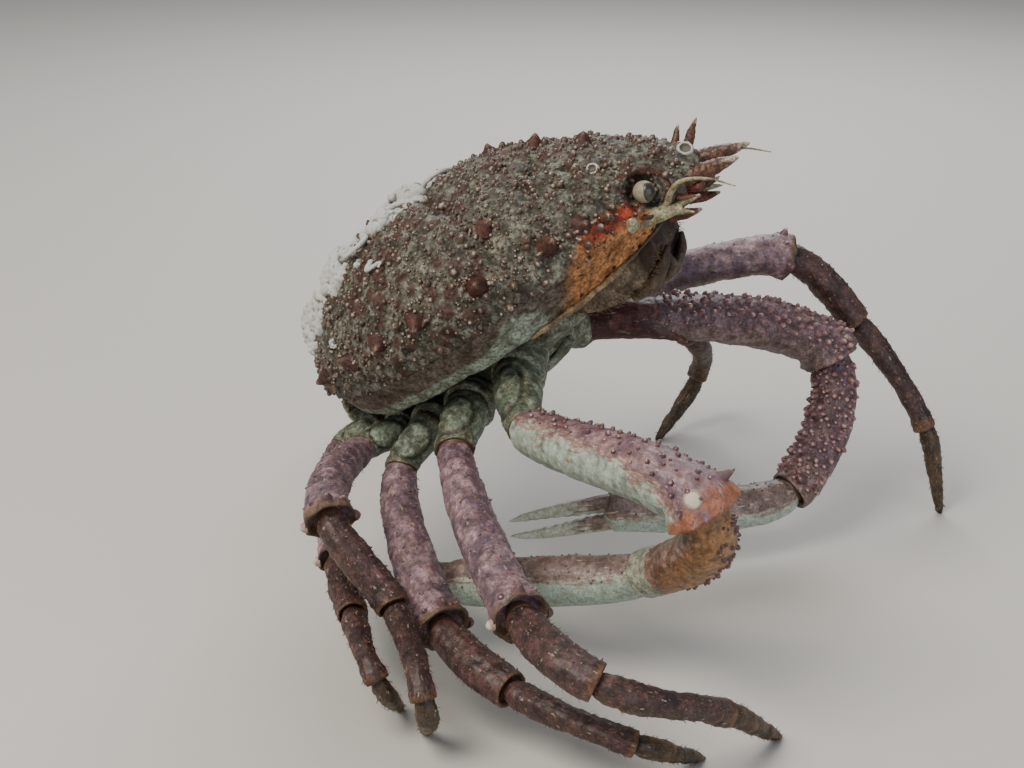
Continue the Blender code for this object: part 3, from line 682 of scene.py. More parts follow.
for side in SIGN.values():           # the pit that each eye sits in
    root, way = mirrored(EYE_ROOT, EYE_WAY, side)
    t = (shell_grid - root) @ way
    off = np.linalg.norm(shell_grid - root - t[..., None] * way, axis=-1)
    allowed = np.interp(off, (0, .0055, .0085, .012), (.001, .003, .010, .030))
    sink = np.where((t > -0.002) & (off < 0.0115), (t - allowed).clip(0, 0.012), 0)
    shell_grid = raised(shell_grid, -sink, way)
print("relief in mm:", (relief.min() * 1000).round(2), "to", (relief.max() * 1000).round(2))

# %% Carapace masks
silt = np.clip(0.95 - coarse * 1.3 - grain * 0.4 + 0.3 * ripple(smooth, 0.02, 21), 0, 1)
furrow_dirt = sum(hump(furrow, 0, 0.012) for furrow in furrows)
hollow = np.clip(silt + 0.5 * furrow_dirt, 0, 1) * (1 - is_under) * (1 - 0.6 * wild)
front = (ramp(f_all + 0.125 * drop.clip(0), 0.265, 0.06) * ramp(drop, -0.36, 0.25)
         * ramp(f_all, 0.43, -0.03))
widened = 0.28 * hump(f_all, 0.11, 0.06)      # the pale rim swells beside the front
chalk = (1.4 * hump(f_all, -0.22, 0.16) * hump(l_all, -0.10, 0.07)
         + 0.9 * ripple(smooth, 0.011, 31) - 0.55)
shell_masks = {
    # silt in the hollows and furrows; the flank's fold and the pocket by the mouth get painted shade
    # from the same mask
    "hollow": np.maximum(np.maximum(hollow, crease), pocket * 1.3),
    "under": is_under * (1 - front),
    "front": front,
    "red": ramp(f_all, 0.25, 0.05) * front * ramp(np.abs(drop + 0.08), 0.65, -0.5),
    "front_spots": front * np.clip(pebbles(smooth, 0.0030, 77) * 2.0 - 1.05, 0, 1),
    "band": ramp(drop + widened, 0.70, 0.16) * (abs_l > flat[:, None] * 0.97)
    * ramp(f_all, 0.20, -0.07),
    "lime": np.clip(chalk, 0, 1) * rough_part,
    "maroon": np.clip(coarse * 1.5 - 0.55 + 0.8 * ripple(smooth, 0.022, 61), 0, 1) * rough_part}
print("mean of each mask:", {key: round(float(mask.mean()), 3) for key, mask in shell_masks.items()})

# %% [markdown]
# The shell's finish changes over its parts. The back is brown-grey with silt in the hollows
# and maroon where the shell shows, with painted shade in the flank's fold and in the pocket
# by the mouth. The rim below the margin is pale green, and the fold beside the mouth is
# orange, turning red towards the eye. The masks mark these places, and noise makes their
# borders ragged.

# %% Carapace finish
# Matt lime shell under silt: rough enough that only its pebbles catch a soft light
shell_finish, tree, place = blank("carapace shell")
cloud, speck, fine = (
    add(tree, "TexNoise", values={"Scale": 1000 / size, "Detail": detail, "Roughness": rough},
        links={"Vector": place}).outputs["Fac"]
    for size, detail, rough in ((9.0, 6.0, 0.65), (1.6, 4.0, 0.7), (0.8, 4.0, 0.65)))
steep = add(tree, "MapRange", values={1: 0.38, 2: 0.62}, links={0: cloud}).outputs[0]
base = add(tree, "Mix", MIX, {6: colour("#57544c"), 7: colour("#8d8f82")}, {0: steep}).outputs[2]
base = flecked(tree, base, speck, "#adaa9a", 0.56, 0.70)
base = flecked(tree, base, speck, "#473430", 0.46, 0.34)
for mask, code, noise, low, high, spread in (
        ("maroon", "#5f4137", speck, 0.45, 1.05, 0.9), ("hollow", "#4e4c42", speck, 0.45, 0.95, 0.8),
        ("under", "#80756a", cloud, 0.4, 0.7, 0.8), ("front", "#d9965e", speck, 0.25, 0.85, 0.8),
        ("red", "#bd4e32", cloud, 0.30, 0.95, 0.8), ("front_spots", "#4a2a1c", speck, 0.45, 0.75, 0.5),
        ("band", "#acbcab", speck, 0.45, 0.85, 0.8), ("lime", "#c9cbc8", speck, 0.35, 0.60, 0.5)):
    base = masked(tree, base, mask, code, noise, low, high, spread)
base = varied(tree, base, place, "#a59e91", 4.5)
shader = dress(tree, base, speck, (0.52, 0.82), fine, 1.0, 0.30)
shader.inputs["Specular IOR Level"].default_value = 0.4

solid_piece("carapace_surface", [(shell_grid, shell_masks)], shell_finish, "shell", ["carapace"])
print("carapace box in mm:", (np.ptp(shell_grid.reshape(-1, 3), axis=0) * 1000).round(1))

# %% [markdown]
# ## Knobs and beads of the shell
#
# Three things stand on the back: a row of stout knobs along each margin, lower ones in a row
# down the middle, and between them thousands of small round beads, a few with a worn pale
# tip. The roots are picked from the carapace grid itself, so each stands on the real surface.

# %% Point finishes and shell beads


def point_finish(name, dark, light, pale, low, most, gloss=0.24):
    """Small points: a root of two tones, and a worn tip that only some of them have."""
    return grained(name, dark, light, (2.5, 3.0, 0.5), (0.50, gloss), (0.8, 0.12),
                   ("tip", pale, low, low + 0.5, 2.0, most), shine_mask="tip")


# Brown beads with a slight gloss at the tip, which gives the back its many small glints
shell_points = point_finish("brown shell points", "#32271f", "#70594b", "#b9b09e", 0.74, 0.7)
# Dark points of the legs, pale bosses at the knees, rosy beads on the left claw's arm
limb_points_dark = point_finish("dark limb points", "#3f2a31", "#7b5a5c", "#cbbca8", 0.66, 0.75)
limb_points_pale = point_finish("pale limb points", "#8a6a66", "#b5a096", "#cfc6b2", 0.30, 0.9, 0.55)
claw_points = point_finish("rosy claw points", "#6b484c", "#9c7674", "#c3a99d", 0.60, 0.8)
# Maroon knobs, matt at the root and worn lighter at the top
knob_finish = grained("maroon knobs", "#33170f", "#7d4636", (1.8, 4.0, 0.65), (0.72, 0.5),
                      (1.0, 0.25), ("tip", "#a98670", 0.55, 1.0, 0.9, 0.7), ("#8f897c", 2.4), "tip")

grid_normals = normals(shell_grid)


def on_back(count, seed):
    """Roots and outward directions on the back, spread evenly over its area."""
    a, b = scatter(count * 3, seed)
    row = a * (rows - 1)
    col = (1.09 * b - 0.045) * (cols_back - 1)
    share = measure(1, np.interp(row, np.arange(rows), fs)) / STATIONS[:, 1].max() * 0.62
    keep = np.random.default_rng(seed + 1).uniform(0, 1, len(a)) < share
    chosen = np.random.default_rng(seed + 2).permutation(np.flatnonzero(keep))[:count]
    row, col = row[chosen], col[chosen]
    return pick(shell_grid, row, col), pick(grid_normals, row, col)


rng = np.random.default_rng(17)
sets = []
for count, seed, long, thick in ((2300, 41, 0.8, 0.58), (1150, 52, 1.25, 0.92), (230, 63, 2.1, 1.4)):
    roots, ways = on_back(count, seed)
    lean = unit(ways) + 0.28 * FORE + rng.normal(0, 0.16, roots.shape)
    size = rng.uniform(0.65, 1.3, len(roots)) / 1000
    sets.append(thorns(roots, lean, long * size, thick * size, levels=BEAD))
thorn_piece("carapace_spinules", sets, shell_points, "shell")
tell("beads")

# %% Knobs and the granules around them


def back_root(f, a):
    """The dressed surface and its normal at f and angle a on the back."""
    i = np.interp(np.atleast_1d(f), fs, np.arange(rows))
    j = np.atleast_1d(a) / np.pi * (cols_back - 1)
    return pick(shell_grid, i, j), unit(pick(grid_normals, i, j))


MARGIN = np.array(((.315, 2.2), (.25, 6.0), (.11, 8.0), (-.04, 6.5), (-.15, 5.0), (-.26, 5.0),
                   (-.38, 4.5)))     # f and length in mm, from the head to the rear
MEDIAN_F = (.31, .21, .11, -.01, -.12, -.23, -.33)
knob_f = np.concatenate([MARGIN[:, 0], MARGIN[:, 0], MEDIAN_F, (-.47, -.47, .16, .16)])
knob_a = np.concatenate([np.full(7, 0.13), np.full(7, np.pi - 0.13), np.full(7, np.pi / 2),
                         (np.pi / 2 - .45, np.pi / 2 + .45, .56, np.pi - .56)])
knob_long = np.concatenate([MARGIN[:, 1], MARGIN[:, 1], np.full(7, 3.4), (4.0, 4.0, 2.6, 2.6)])
roots, ways = back_root(knob_f, knob_a)
points, faces, tip = thorns(roots, ways + 0.25 * FORE, (knob_long + 0.8) / 1000,
                            0.0029 + knob_long * 0.0001, 14, STOUT)
away = unit(points.reshape(len(roots), -1, 3) - roots[:, None]).reshape(-1, 3)
points = raised(points, ripple(points, 0.0022, 4) * 0.0005, away)
points = raised(points, pebbles(points, 0.0014, 4) * 0.0003 * (1 - tip), away)
thorn_piece("carapace_knobs", [(points, faces, np.clip(tip * 1.1 - 0.1, 0, 1))], knob_finish,
            "shell")

sets = []
for k, (root, way, long) in enumerate(zip(roots, ways, knob_long)):
    count = 16 if long > 4.5 else 9
    far = (0.0040 + 0.0016 * (np.arange(count) % 2))[:, None]
    spots = root + far * wheel(turns(count) + k, *square_to(way, -FORE))
    f, l = reach_along(spots, FORE), reach_along(spots, LEFT)
    a = np.arccos(np.clip(-l / measure(1, f), -0.995, 0.995))
    at, up = back_root(np.clip(f, -0.49, 0.52), a)
    sets.append(thorns(at, up + 0.2 * FORE, 0.0013, 0.0009, levels=BEAD))
thorn_piece("carapace_granules", sets, shell_points, "shell")
tell("back")

# %% [markdown]
# ## How the limbs run
#
# A crab's limb has five visible pieces: the hip, the long upper piece (merus), the knee
# piece (carpus), the lower piece (propodus) and the tip (dactylus). The tables give each
# limb's piece lengths and radii in millimetres and, for the pose, the heading and slope of
# every piece in degrees. A slope of None means that the tip reaches the floor.

# %% Limb tables and joints
PIECES = ("base", "merus", "carpus", "propodus", "dactylus")
LENGTHS = {"claw": (30, 84, 58, 75, 40), "leg1": (20, 93, 42, 55, 38), "leg2": (20, 79, 37, 47, 36),
           "leg3": (17, 68, 36, 44, 34), "leg4": (17, 60, 33, 38, 32)}
GIRTHS = {"claw": (8.5, 10.4, 9.0, 7.6, 3.8), "leg1": (8.2, 7.8, 6.6, 4.8, 3.9),
          "leg2": (7.2, 7.8, 6.6, 4.6, 3.7), "leg3": (6.4, 7.1, 6.0, 4.3, 3.5),
          "leg4": (5.6, 6.0, 5.2, 3.9, 3.2)}
HIPS = {"claw": (-.020, .190, -.182), "leg1": (-.155, .200, -.186), "leg2": (-.265, .185, -.180),
        "leg3": (-.360, .150, -.160), "leg4": (-.430, .105, -.128)}
POSE = {
    ("claw", "right"): ((-62, -15), (-28, -2), (132, -45), (175, -15), (150, -20)),
    ("leg1", "right"): ((-84, -30), (-54, -13), (-36, -5), (51, -27), (67, None)),
    ("leg2", "right"): ((-125, -48), (-55, -21), (-30, -11), (-13, -5), (60, None)),
    ("leg3", "right"): ((-124, -12), (-74, 1), (-10, -46), (-53, -15), (112, None)),
    ("leg4", "right"): ((-150, -32), (-66, -20), (-56, -9), (-52, -8), (95, None)),
    ("claw", "left"): ((12, 8), (42, -19), (-100, -53), (-142, 1), (199, -12)),
    ("leg1", "left"): ((50, 38), (35, 10), (28, -43), (9, -55), (-13, None)),
    ("leg2", "left"): ((88, -13), (71, 10), (30, -40), (98, -44), (-117, None)),
    ("leg3", "left"): ((105, -5), (118, 14), (122, -20), (122, -62), (122, None)),
    ("leg4", "left"): ((124, -15), (122, 11), (122, -22), (122, -55), (122, None))}


def limb_points(limb, side):
    """The six joints of a limb, found by adding up its pieces from the hip."""
    f, l, u = HIPS[limb]
    points = [body(f, l * SIGN[side], u)]
    for size, (heading, slope) in zip(LENGTHS[limb], POSE[(limb, side)]):
        if slope is None:
            slope = -math.degrees(math.asin(points[-1][2] / (size / 1000)))
        h, e = math.radians(heading), math.radians(slope)
        way = np.array([math.cos(e) * math.cos(h), math.cos(e) * math.sin(h), math.sin(e)])
        points.append(points[-1] + way * size / 1000)
    return np.array(points)


def joint_ways(points):
    """The direction of travel at each joint: halfway between the pieces that meet there."""
    runs = unit(np.diff(points, axis=0))
    return np.concatenate([runs[:1], unit(runs[:-1] + runs[1:]), runs[-1:]])


def bend(p, q, way_p, way_q, t):
    """The Hermite curve from p to q, with both end directions given; straight on outside 0 to 1."""
    size = np.linalg.norm(q - p)
    reach = min(size * 0.95, 0.052)
    a, b = way_p * reach, way_q * reach
    s = np.clip(t, 0, 1)[:, None]
    centre = ((2 * s**3 - 3 * s**2 + 1) * p + (s**3 - 2 * s**2 + s) * a
              + (3 * s**2 - 2 * s**3) * q + (s**3 - s**2) * b)
    way = unit((6 * s**2 - 6 * s) * p + (3 * s**2 - 4 * s + 1) * a
               + (6 * s - 6 * s**2) * q + (3 * s**2 - 2 * s) * b)
    return centre + way * (t - np.clip(t, 0, 1))[:, None] * size, way


def carried(way, lateral):
    """Side and up directions for every ring: square to its way, with the side near the given one."""
    lateral = unit(lateral - (way @ lateral)[:, None] * way)
    return lateral, np.cross(way, lateral)


joint = {key: limb_points(*key) for key in POSE}
print("claw tips:", joint[("claw", "right")][5].round(3), joint[("claw", "left")][5].round(3))
print("lowest leg tips in mm:", [round(float(j[5][2]) * 1000, 2) for k, j in joint.items()
                                 if k[0] != "claw"])

# %% [markdown]
# ## One limb piece
#
# Each piece is a sleeve of rings along its curve. Its radius swells and narrows as on the
# animal, and the far end is a hollow lip, because the next piece turns inside it. The near
# end is a slim neck that reaches into the piece before. Ridges, pebbles and pits roughen it,
# and the hips carry an oval shield on their outer face.

# %% Limb piece surface
FORMS = {
    "base": ((0, 1.0), (0.35, 0.98), (0.75, 0.88), (1, 0.86)),
    "merus": ((0, 0.70), (0.06, 0.80), (0.30, 0.93), (0.62, 1.02), (0.82, 1.02), (0.93, 1.20),
              (1, 1.27)),
    "carpus": ((0, 0.80), (0.08, 0.92), (0.30, 1.0), (0.55, 1.06), (0.80, 1.02), (0.94, 1.02),
               (1, 0.98)),
    "propodus": ((0, 0.86), (0.08, 1.10), (0.25, 1.08), (0.50, 0.96), (0.80, 0.92), (0.94, 1.02),
                 (1, 1.0)),
    "dactylus": ((0, 0.84), (0.10, 1.02), (0.30, 0.98), (0.55, 0.82), (0.75, 0.64), (0.90, 0.46),
                 (0.97, 0.34), (1, 0.20))}
LIP = np.array(((0.998, 0.93), (0.985, 0.86), (0.965, 0.80), (0.93, 0.72)))   # place, share
# Where a piece's worn end starts, and over how far
ENDS = {("claw", 1): (0.86, 0.15), ("claw", 2): (0.76, 0.06), ("leg1", 3): (0.86, 0.10)}
PLAIN_END = (0.925, 0.06)


def swell(form, t):
    """The radius share at t, averaged over a short window so that the sleeve has no kinks."""
    spread = t[:, None] + np.linspace(-0.025, 0.025, 7)
    return np.interp(spread, *zip(*form)).mean(-1)


def belly_level(limb, side, index, t):
    """How far the pale underside climbs; on the right claw more near the body than at the knee."""
    if limb != "claw":
        return -0.05
    if side == "left":
        return 0.45 if index == 1 else 0.2
    table = {1: ((0, .3, .6, .85, 1), (.80, .76, .50, .10, -.1)),
             2: ((0, .35, .7, 1), (.20, .30, .05, -.25))}.get(index)
    return np.interp(t, *table) if table else 0.3


def sleeve(limb, side, index):
    """A limb piece as a grid: centre(t) + radius(t, angle) * (cos * side + 0.93 sin * up)."""
    points, part = joint[(limb, side)], PIECES[index]
    ways = joint_ways(points)
    p, q = points[index], points[index + 1]
    radius, length = GIRTHS[limb][index] / 1000, np.linalg.norm(q - p)
    on_floor = part == "dactylus" and limb != "claw"
    left_root = (limb, side, index) == ("claw", "left", 0)
    neck = -np.array([3.4, 2.4, 1.5, 0.7]) / 1000 / length if index else [-0.1]
    outside = np.concatenate([neck, np.linspace(0, 1, int(np.clip(length / 0.00085, 34, 92)))])
    lip = LIP[:0] if on_floor else LIP
    t = np.concatenate([outside, lip[:, 0]])
    centre, way = bend(p, q, ways[index], ways[index + 1], t)
    lateral, up = carried(way, unit(np.cross((0.0, 0.0, 1.0), q - p)))
    share = swell(FORMS[part], t) * np.concatenate([np.ones(len(outside)), lip[:, 1]])
    if index:
        share = share * (0.66 + 0.34 * ramp(t, -0.045, 0.06) ** 0.6)
    T, a = np.meshgrid(t, turns(int(np.clip(radius * 2 * np.pi / 0.0009, 30, 60))), indexing="ij")
    size = radius * share[:, None] * np.ones_like(T)
    shaft = ramp(T, 0.02, 0.08) * ramp(T, 1.0, -0.05)
    downward = (-np.sin(a)).clip(0)
    if left_root:                    # the left claw's root flares below
        size = size * (1 + 0.46 * ramp(T, 0.30, 0.55) * downward)
    if part == "merus":              # keel along the top, scalloped flaring rim
        size = size * (1 + 0.05 * shaft * np.cos(a - np.pi / 2).clip(0) ** 6)
        size = size * (1 + 0.035 * ramp(T, 0.86, 0.12) ** 2 * np.cos(7 * a + 0.6))
    if part in ("carpus", "propodus") and limb != "claw":    # two shallow furrows on top
        size = size * (1 - 0.07 * (hump(a, 1.05, 0.16) + hump(a, 2.10, 0.16)) * shaft)
    ring_dirs = wheel(a, lateral[:, None], up[:, None], 0.93)
    smooth = centre[:, None] + size[..., None] * ring_dirs
    if left_root:                    # and its lower lip reaches far out
        smooth = raised(smooth, 0.015 * ramp(T, 0.30, 0.70) * downward, way[:, None])
    amount = (np.arange(len(t)) < len(outside))[:, None] * ramp(T, -0.03, 0.06)
    if on_floor:
        amount = amount * ramp(T, 0.985, -0.03)
    grain = pebbles(smooth, 0.0024, 11 + index)
    lumps = ripple(smooth, 0.0052, 5 + index)
    pits = pebbles(smooth, 0.0034, 29) ** 3
    rise = (grain * (0.00028 if limb == "claw" else 0.00042) + lumps * 0.0004 - pits * 0.0003
            + ripple(smooth, 0.0016, 3) * 0.00012)
    edge = 0
    if part == "base":               # an oval shield on the outer face, with a sunk dark edge
        outer = SIGN[side] * LEFT + 0.25 * OUT
        faced = math.atan2(float(outer @ up[len(t) // 2]), float(outer @ lateral[len(t) // 2]))
        off = (a - faced + np.pi) % (2 * np.pi) - np.pi
        far = np.hypot((T - 0.45) / 0.40, off / 1.05)
        edge = hump(far, 1, 0.10)
        rise = rise + 0.0004 * ramp(far, 1, -0.25) ** 0.6 - 0.0006 * edge
    grid = raised(smooth, rise * amount, unit(ring_dirs))
    if on_floor:
        grid[..., 2] = np.maximum(grid[..., 2], 0.0002)
    turned = 0.6 if (limb, side, index) == ("claw", "right", 1) else 0
    belly = np.clip(belly_level(limb, side, index, T) - 0.9 * np.sin(a + turned), 0, 1)
    # painted shade: the merus's rim and the inside of its lip are darkened where the next piece goes in
    lip_shade = 0.9 * ramp(T, 0.975, 0.02) if part == "merus" and limb != "claw" else 0
    streaks = np.stack([T * length * 1000 / 26, np.cos(a) * 2.2, np.sin(a) * 2.2], axis=-1)
    return grid, t, {
        "skin": np.stack([T * length * 0.38, size * np.cos(a), size * np.sin(a)], axis=-1) + index,
        "belly": belly * (1 - 0.3 * np.clip(lumps * 2, 0, 1)),
        "ends": np.clip(ramp(T, *ENDS.get((limb, index), PLAIN_END)) * 0.9
                        + ramp(T, 0.03, -0.05) * 0.8 + lumps * 0.25 * (T > 0.85), 0, 1),
        "hollow": np.clip(0.75 - grain * 1.1 + pits * 0.8, 0, 1) * amount + lip_shade + 1.3 * edge,
        "streak": np.clip(ripple(streaks, 1.0, 40 + index) * 1.6, 0, 1)}


grid, t, masks = sleeve("leg2", "right", 1)
print("merus grid:", grid.shape[:2], "length in mm:",
      round(float(np.linalg.norm(grid[-1].mean(0) - grid[0].mean(0))) * 1000, 1))

# %% [markdown]
# ## The limbs
#
# All ten limbs go through the same steps. Upper pieces are mauve, lower pieces maroon brown
# and the tips horn brown. The claws' arms carry round granules, the legs small points and
# bristles. Every merus ends in stronger spines above the knee, and smooth bosses on its
# sides show where the knee turns.

# %% Build the limb sleeves
FINISH = {"base": base_shell, "merus": leg_mauve, "carpus": leg_maroon, "propodus": leg_maroon,
          "dactylus": leg_tip}
OWN_FINISH = {"claw_right_merus": claw_mint, "claw_right_carpus": claw_knee,
              "claw_left_base": dark_red, "claw_left_merus": claw_mauve,
              "claw_left_carpus": claw_mauve}
SLOTS = {"base": "underside", "dactylus": "tip"}
GRANULES = {"claw_right_merus": 110, "claw_right_carpus": 70, "claw_left_merus": 190,
            "claw_left_carpus": 170}
CLAW_BOSS = ((-0.6, 1.1), (0.1, 1.0), (0.5, 0.8), (0.85, 0.45))
LEG_BOSS = ((-0.4, 1.1), (0.15, 1.0), (0.5, 0.80), (0.78, 0.50))
BRISTLES = (0, 90, 110, 150, 130)    # how many each piece of a leg has


def surface_thorns(grid, t, at, angle, long, thick, forward=0.35, **kind):
    """Points on a sleeve, leaning forward: places from 0 to 1, angles in degrees, sizes in mm."""
    count = len(t) - len(LIP)        # the last rings, the lip on most pieces, stay bare
    row = np.interp(at, t[:count], np.arange(count))
    col = np.asarray(angle) % 360 / 360 * grid.shape[1]
    roots = pick(grid, row, col)
    ahead = unit(pick(grid, row + 2, col) - roots)
    return thorns(roots, unit(pick(normals(grid), row, col)) + forward * ahead,
                  np.asarray(long) / 1000, np.asarray(thick) / 1000, **kind)


thorn_sets = {"claw": [], "limb": [], "pale": [], "rosy": []}
leg_hairs = []
for (limb, side) in POSE:
    for index, part in enumerate(PIECES[:3] if limb == "claw" else PIECES):
        name = f"{limb}_{side}_{part}"
        grid, t, masks = sleeve(limb, side, index)
        slot = "claw" if limb == "claw" and index else SLOTS.get(part, "limb")
        solid_piece(name + "_surface", [(grid, masks)], OWN_FINISH.get(name, FINISH[part]), slot,
                    [name])
        seed = len(made)
        rng = np.random.default_rng(seed)
        if name in GRANULES:
            n = GRANULES[name]
            u, v = scatter(n, seed)
            at, angle = 0.05 + 0.90 * u, -5 + 190 * v
            if name == "claw_right_merus":       # none on the smooth mint side
                angle = -5 + v * (5 + np.interp(at, (0, .5, 1), (112, 134, 180)))
            if name == "claw_right_carpus":      # only along the outer edge of the knee
                at, angle = 0.05 + 0.7 * u, 170 + 100 * v
            size = rng.uniform(0.5, 1.25, n) * (1.3 if side == "left" else 1.0)
            thorn_sets["claw" if side == "right" else "rosy"].append(
                surface_thorns(grid, t, at, angle, 1.4 * size, 0.90 * size, levels=BEAD))
            if part == "merus":                  # the pale boss that the knee turns on
                thorn_sets["pale" if side == "right" else "claw"].append(surface_thorns(
                    grid, t, (0.925, 0.93), (134, -16), 0.9, 3.1, 0.1, sides=18,
                    levels=CLAW_BOSS))
            if name != "claw_right_carpus":      # two spines above the joint
                thorn_sets["claw"].append(surface_thorns(
                    grid, t, (0.93, 0.90), (60, 20), (4.6, 2.6), (2.1, 1.3), sides=8, levels=STOUT))
        elif part == "merus":
            thorn_sets["limb"].append(surface_thorns(
                grid, t, (0.95, 0.94, 0.94), (90, 55, 128), (2.8, 1.4, 1.4), (1.7, 1.2, 1.2),
                sides=8, levels=STOUT))
            near = "pale" if side == "right" else "limb"
            for angle, kind in ((-8, "limb"), (188, near)):      # the bosses the knee turns on
                thorn_sets[kind].append(surface_thorns(
                    grid, t, (0.975,), (angle,), 1.9, 1.9, 0.1, sides=12, levels=LEG_BOSS))
        if limb != "claw" and part in ("merus", "carpus"):
            n = 40 if part == "merus" else 24
            u, v = scatter(n, seed)
            thorn_sets["limb"].append(surface_thorns(
                grid, t, 0.04 + 0.90 * u, 10 + 160 * v,
                0.8 * rng.uniform(0.5, 1.3, n), 0.55 * rng.uniform(0.7, 1.3, n)))
        if limb != "claw" and index:
            n = BRISTLES[index]
            leg_hairs.append(surface_thorns(
                grid, t, rng.uniform(0.05, 0.97, n), rng.uniform(0, 360, n),
                rng.uniform(0.8, 2.1, n), 0.11, 0.9, sides=3, levels=BRISTLE))

for kind, finish, slot in (("claw", limb_points_dark, "claw"), ("limb", limb_points_dark, "limb"),
                           ("pale", limb_points_pale, "claw"), ("rosy", claw_points, "claw")):
    thorn_piece(kind + "_spines", thorn_sets[kind], finish, slot)
tell("limbs")

# %% Bristles of the walking legs
# Brown bristles, paler towards their ends, matt enough that they never glint like wire
bristle, tree, place = blank("brown bristles")
tip = add(tree, "Attribute", {"attribute_name": "tip"}).outputs["Fac"]
hair = add(tree, "Mix", MIX, {6: colour("#4a3424"), 7: colour("#a08458")}, {0: tip}).outputs[2]
dress(tree, hair, tip, (0.7, 0.5))
thorn_piece("leg_bristles", leg_hairs, bristle, "limb")
tell("leg bristles")

# %% [markdown]
# ## Claw hands
#
# The male's claw has a long palm with two slim fingers. The lower finger grows out of the
# palm, the upper one moves. The palm is an oval sleeve with a rounded end. The fingers are
# tapering tubes that curve towards each other, with blunt teeth along the edges that meet.

# %% Palms and fingers
PALM_RADIUS = GIRTHS["claw"][3] / 1000
PALM = ((0, .72), (.06, .90), (.20, 1.04), (.40, 1.12), (.70, 1.10), (.93, 1.05), (1, .98))
PALM_END = np.array(((.0009, .90), (.002, .72), (.003, .42), (.0034, .12)))   # metres on, share
FINGER = ((-.2, .80), (0, 1.02), (.06, 1.04), (.30, .90), (.62, .68), (.86, .46), (.97, .24),
          (1, .12), (1.02, .02))
# Below or above, how far it spreads, and its curve: the lower finger, then the upper one
FINGERS = ((-1, 0.05, ((0, 0), (.62, 0), (.86, .10), (1, .30))),
           (1, 0.12, ((0, 0), (.30, .04), (.62, .02), (.86, -.10), (1, -.28))))


def palm(side):
    """The palm's grid and masks, its places along, and its end: place, side and up directions."""
    points = joint[("claw", side)]
    ways = joint_ways(points)
    t = np.concatenate([[-0.05, -0.035, -0.018, -0.006], np.linspace(0, 1, 76)])
    centre, way = bend(points[3], points[4], ways[3], ways[4], t)
    lateral, up = carried(way, unit(np.cross((0.0, 0.0, 1.0), points[4] - points[3])))
    end = centre[-1], lateral[-1], up[-1]
    share = swell(PALM, t) * (0.66 + 0.34 * ramp(t, -0.05, 0.07) ** 0.6)
    centre = np.concatenate([centre, centre[-1] + way[-1] * PALM_END[:, :1]])
    share = np.concatenate([share, share[-1] * PALM_END[:, 1]])
    lateral, up = (np.concatenate([v, np.repeat(v[-1:], 4, 0)]) for v in (lateral, up))
    t = np.concatenate([t, [1, 1, 1, 1]])
    T, a = np.meshgrid(t, turns(56), indexing="ij")
    dirs = wheel(a, lateral[:, None], up[:, None], 1.06)
    smooth = centre[:, None] + (PALM_RADIUS * share)[:, None, None] * dirs
    grain = pebbles(smooth, 0.0016, 19)
    rise = (grain * 0.00022 + ripple(smooth, 0.006, 8) * 0.0004) * ramp(T, -0.02, 0.05)
    skin = np.stack([T * 0.016, PALM_RADIUS * np.cos(a), PALM_RADIUS * np.sin(a)], axis=-1) + 9
    masks = {"skin": skin,
             "belly": np.clip(-np.sin(a) * 1.1 + (0.92 if side == "right" else 0.5), 0, 1),
             "ends": ramp(T, 0.05, -0.06) * 0.9, "hollow": np.clip(0.5 - grain, 0, 1), "streak": 0}
    return (raised(smooth, rise, unit(dirs)), masks), t, end


def finger(side, end, sign, slope, curve):
    """A finger's grid and masks: below the palm's middle for -1, above it for 1."""
    start, end_side, end_up = end
    run = joint[("claw", side)][5] - joint[("claw", side)][4]
    s = np.concatenate([[-0.14, -0.10, -0.05], np.linspace(0, 1, 60), [1.012]])
    level = 0.52 + sign * 0.6 * swell(curve, s) + slope * s
    core = start + run * s[:, None] + sign * end_up * (PALM_RADIUS * level)[:, None]
    lateral, up = carried(unit(np.gradient(core, axis=0)), end_side)
    S, b = np.meshgrid(s, turns(30), indexing="ij")
    inner = (-sign * np.sin(b)).clip(0) ** 3       # the edge that faces the other finger
    teeth = inner * (0.5 + 0.5 * np.sin(S * 60)) * ramp(S, 0.08, 0.1)
    size = PALM_RADIUS * 0.44 * swell(FINGER, s)[:, None] * (1 + 0.20 * teeth * (S < 0.93))
    dirs = wheel(b, lateral[:, None], up[:, None])
    grid = core[:, None] + size[..., None] * dirs
    return raised(grid, ripple(grid, 0.003, 6) * 0.00014, dirs), {
        "skin": np.stack([S * 0.01, size * np.cos(b), size * np.sin(b)], axis=-1) + 4,
        "belly": np.clip(-np.sin(b), 0, 1) * 0.5 + 0.2, "ends": ramp(S, 0.05, 0.5),
        "hollow": inner * 0.6, "streak": 0}


sets = []
for side in ("right", "left"):
    palm_part, t, end = palm(side)
    low, high = (finger(side, end, *form) for form in FINGERS)
    for part, solids in (("propodus", [palm_part, low]), ("dactylus", [high])):
        name = f"claw_{side}_{part}"
        solid_piece(name + "_surface", solids, claw_hand, "claw", [name])
    u, v = scatter(70, 5)
    sets.append(surface_thorns(palm_part[0], t, 0.03 + 0.85 * u, 10 + 160 * v, 0.7, 0.55))
thorn_piece("palm_granules", sets, limb_points_dark, "claw")
tell("hands")

# %% [markdown]
# ## Horns and spines of the head
#
# Two horns grow forwards from the brow, thick at the root and pale at the worn points. The
# right one sits a little lower, and two spines above the right eye are worn away. A knobbly
# rim with small points goes round each eye's socket. All are tapering tubes or thorns.

# %% Horns and brow spines
# Red-brown horn with a cream worn tip, a little glossier than the shell
horn_finish = grained("horn of the brow", "#4e2c25", "#8f6450", (2.0, 4.0, 0.5), (0.55, 0.38),
                      (0.9, 0.18), ("tip", "#e2d8c6", 0.78, 0.98, 0.5), ("#a59f92", 2.4))


def places(triples, side):
    """A list of (f, l, u) triples, given for the left side, as places in the room."""
    f, l, u = np.array(triples, float).T
    return body(f, l * side, u)


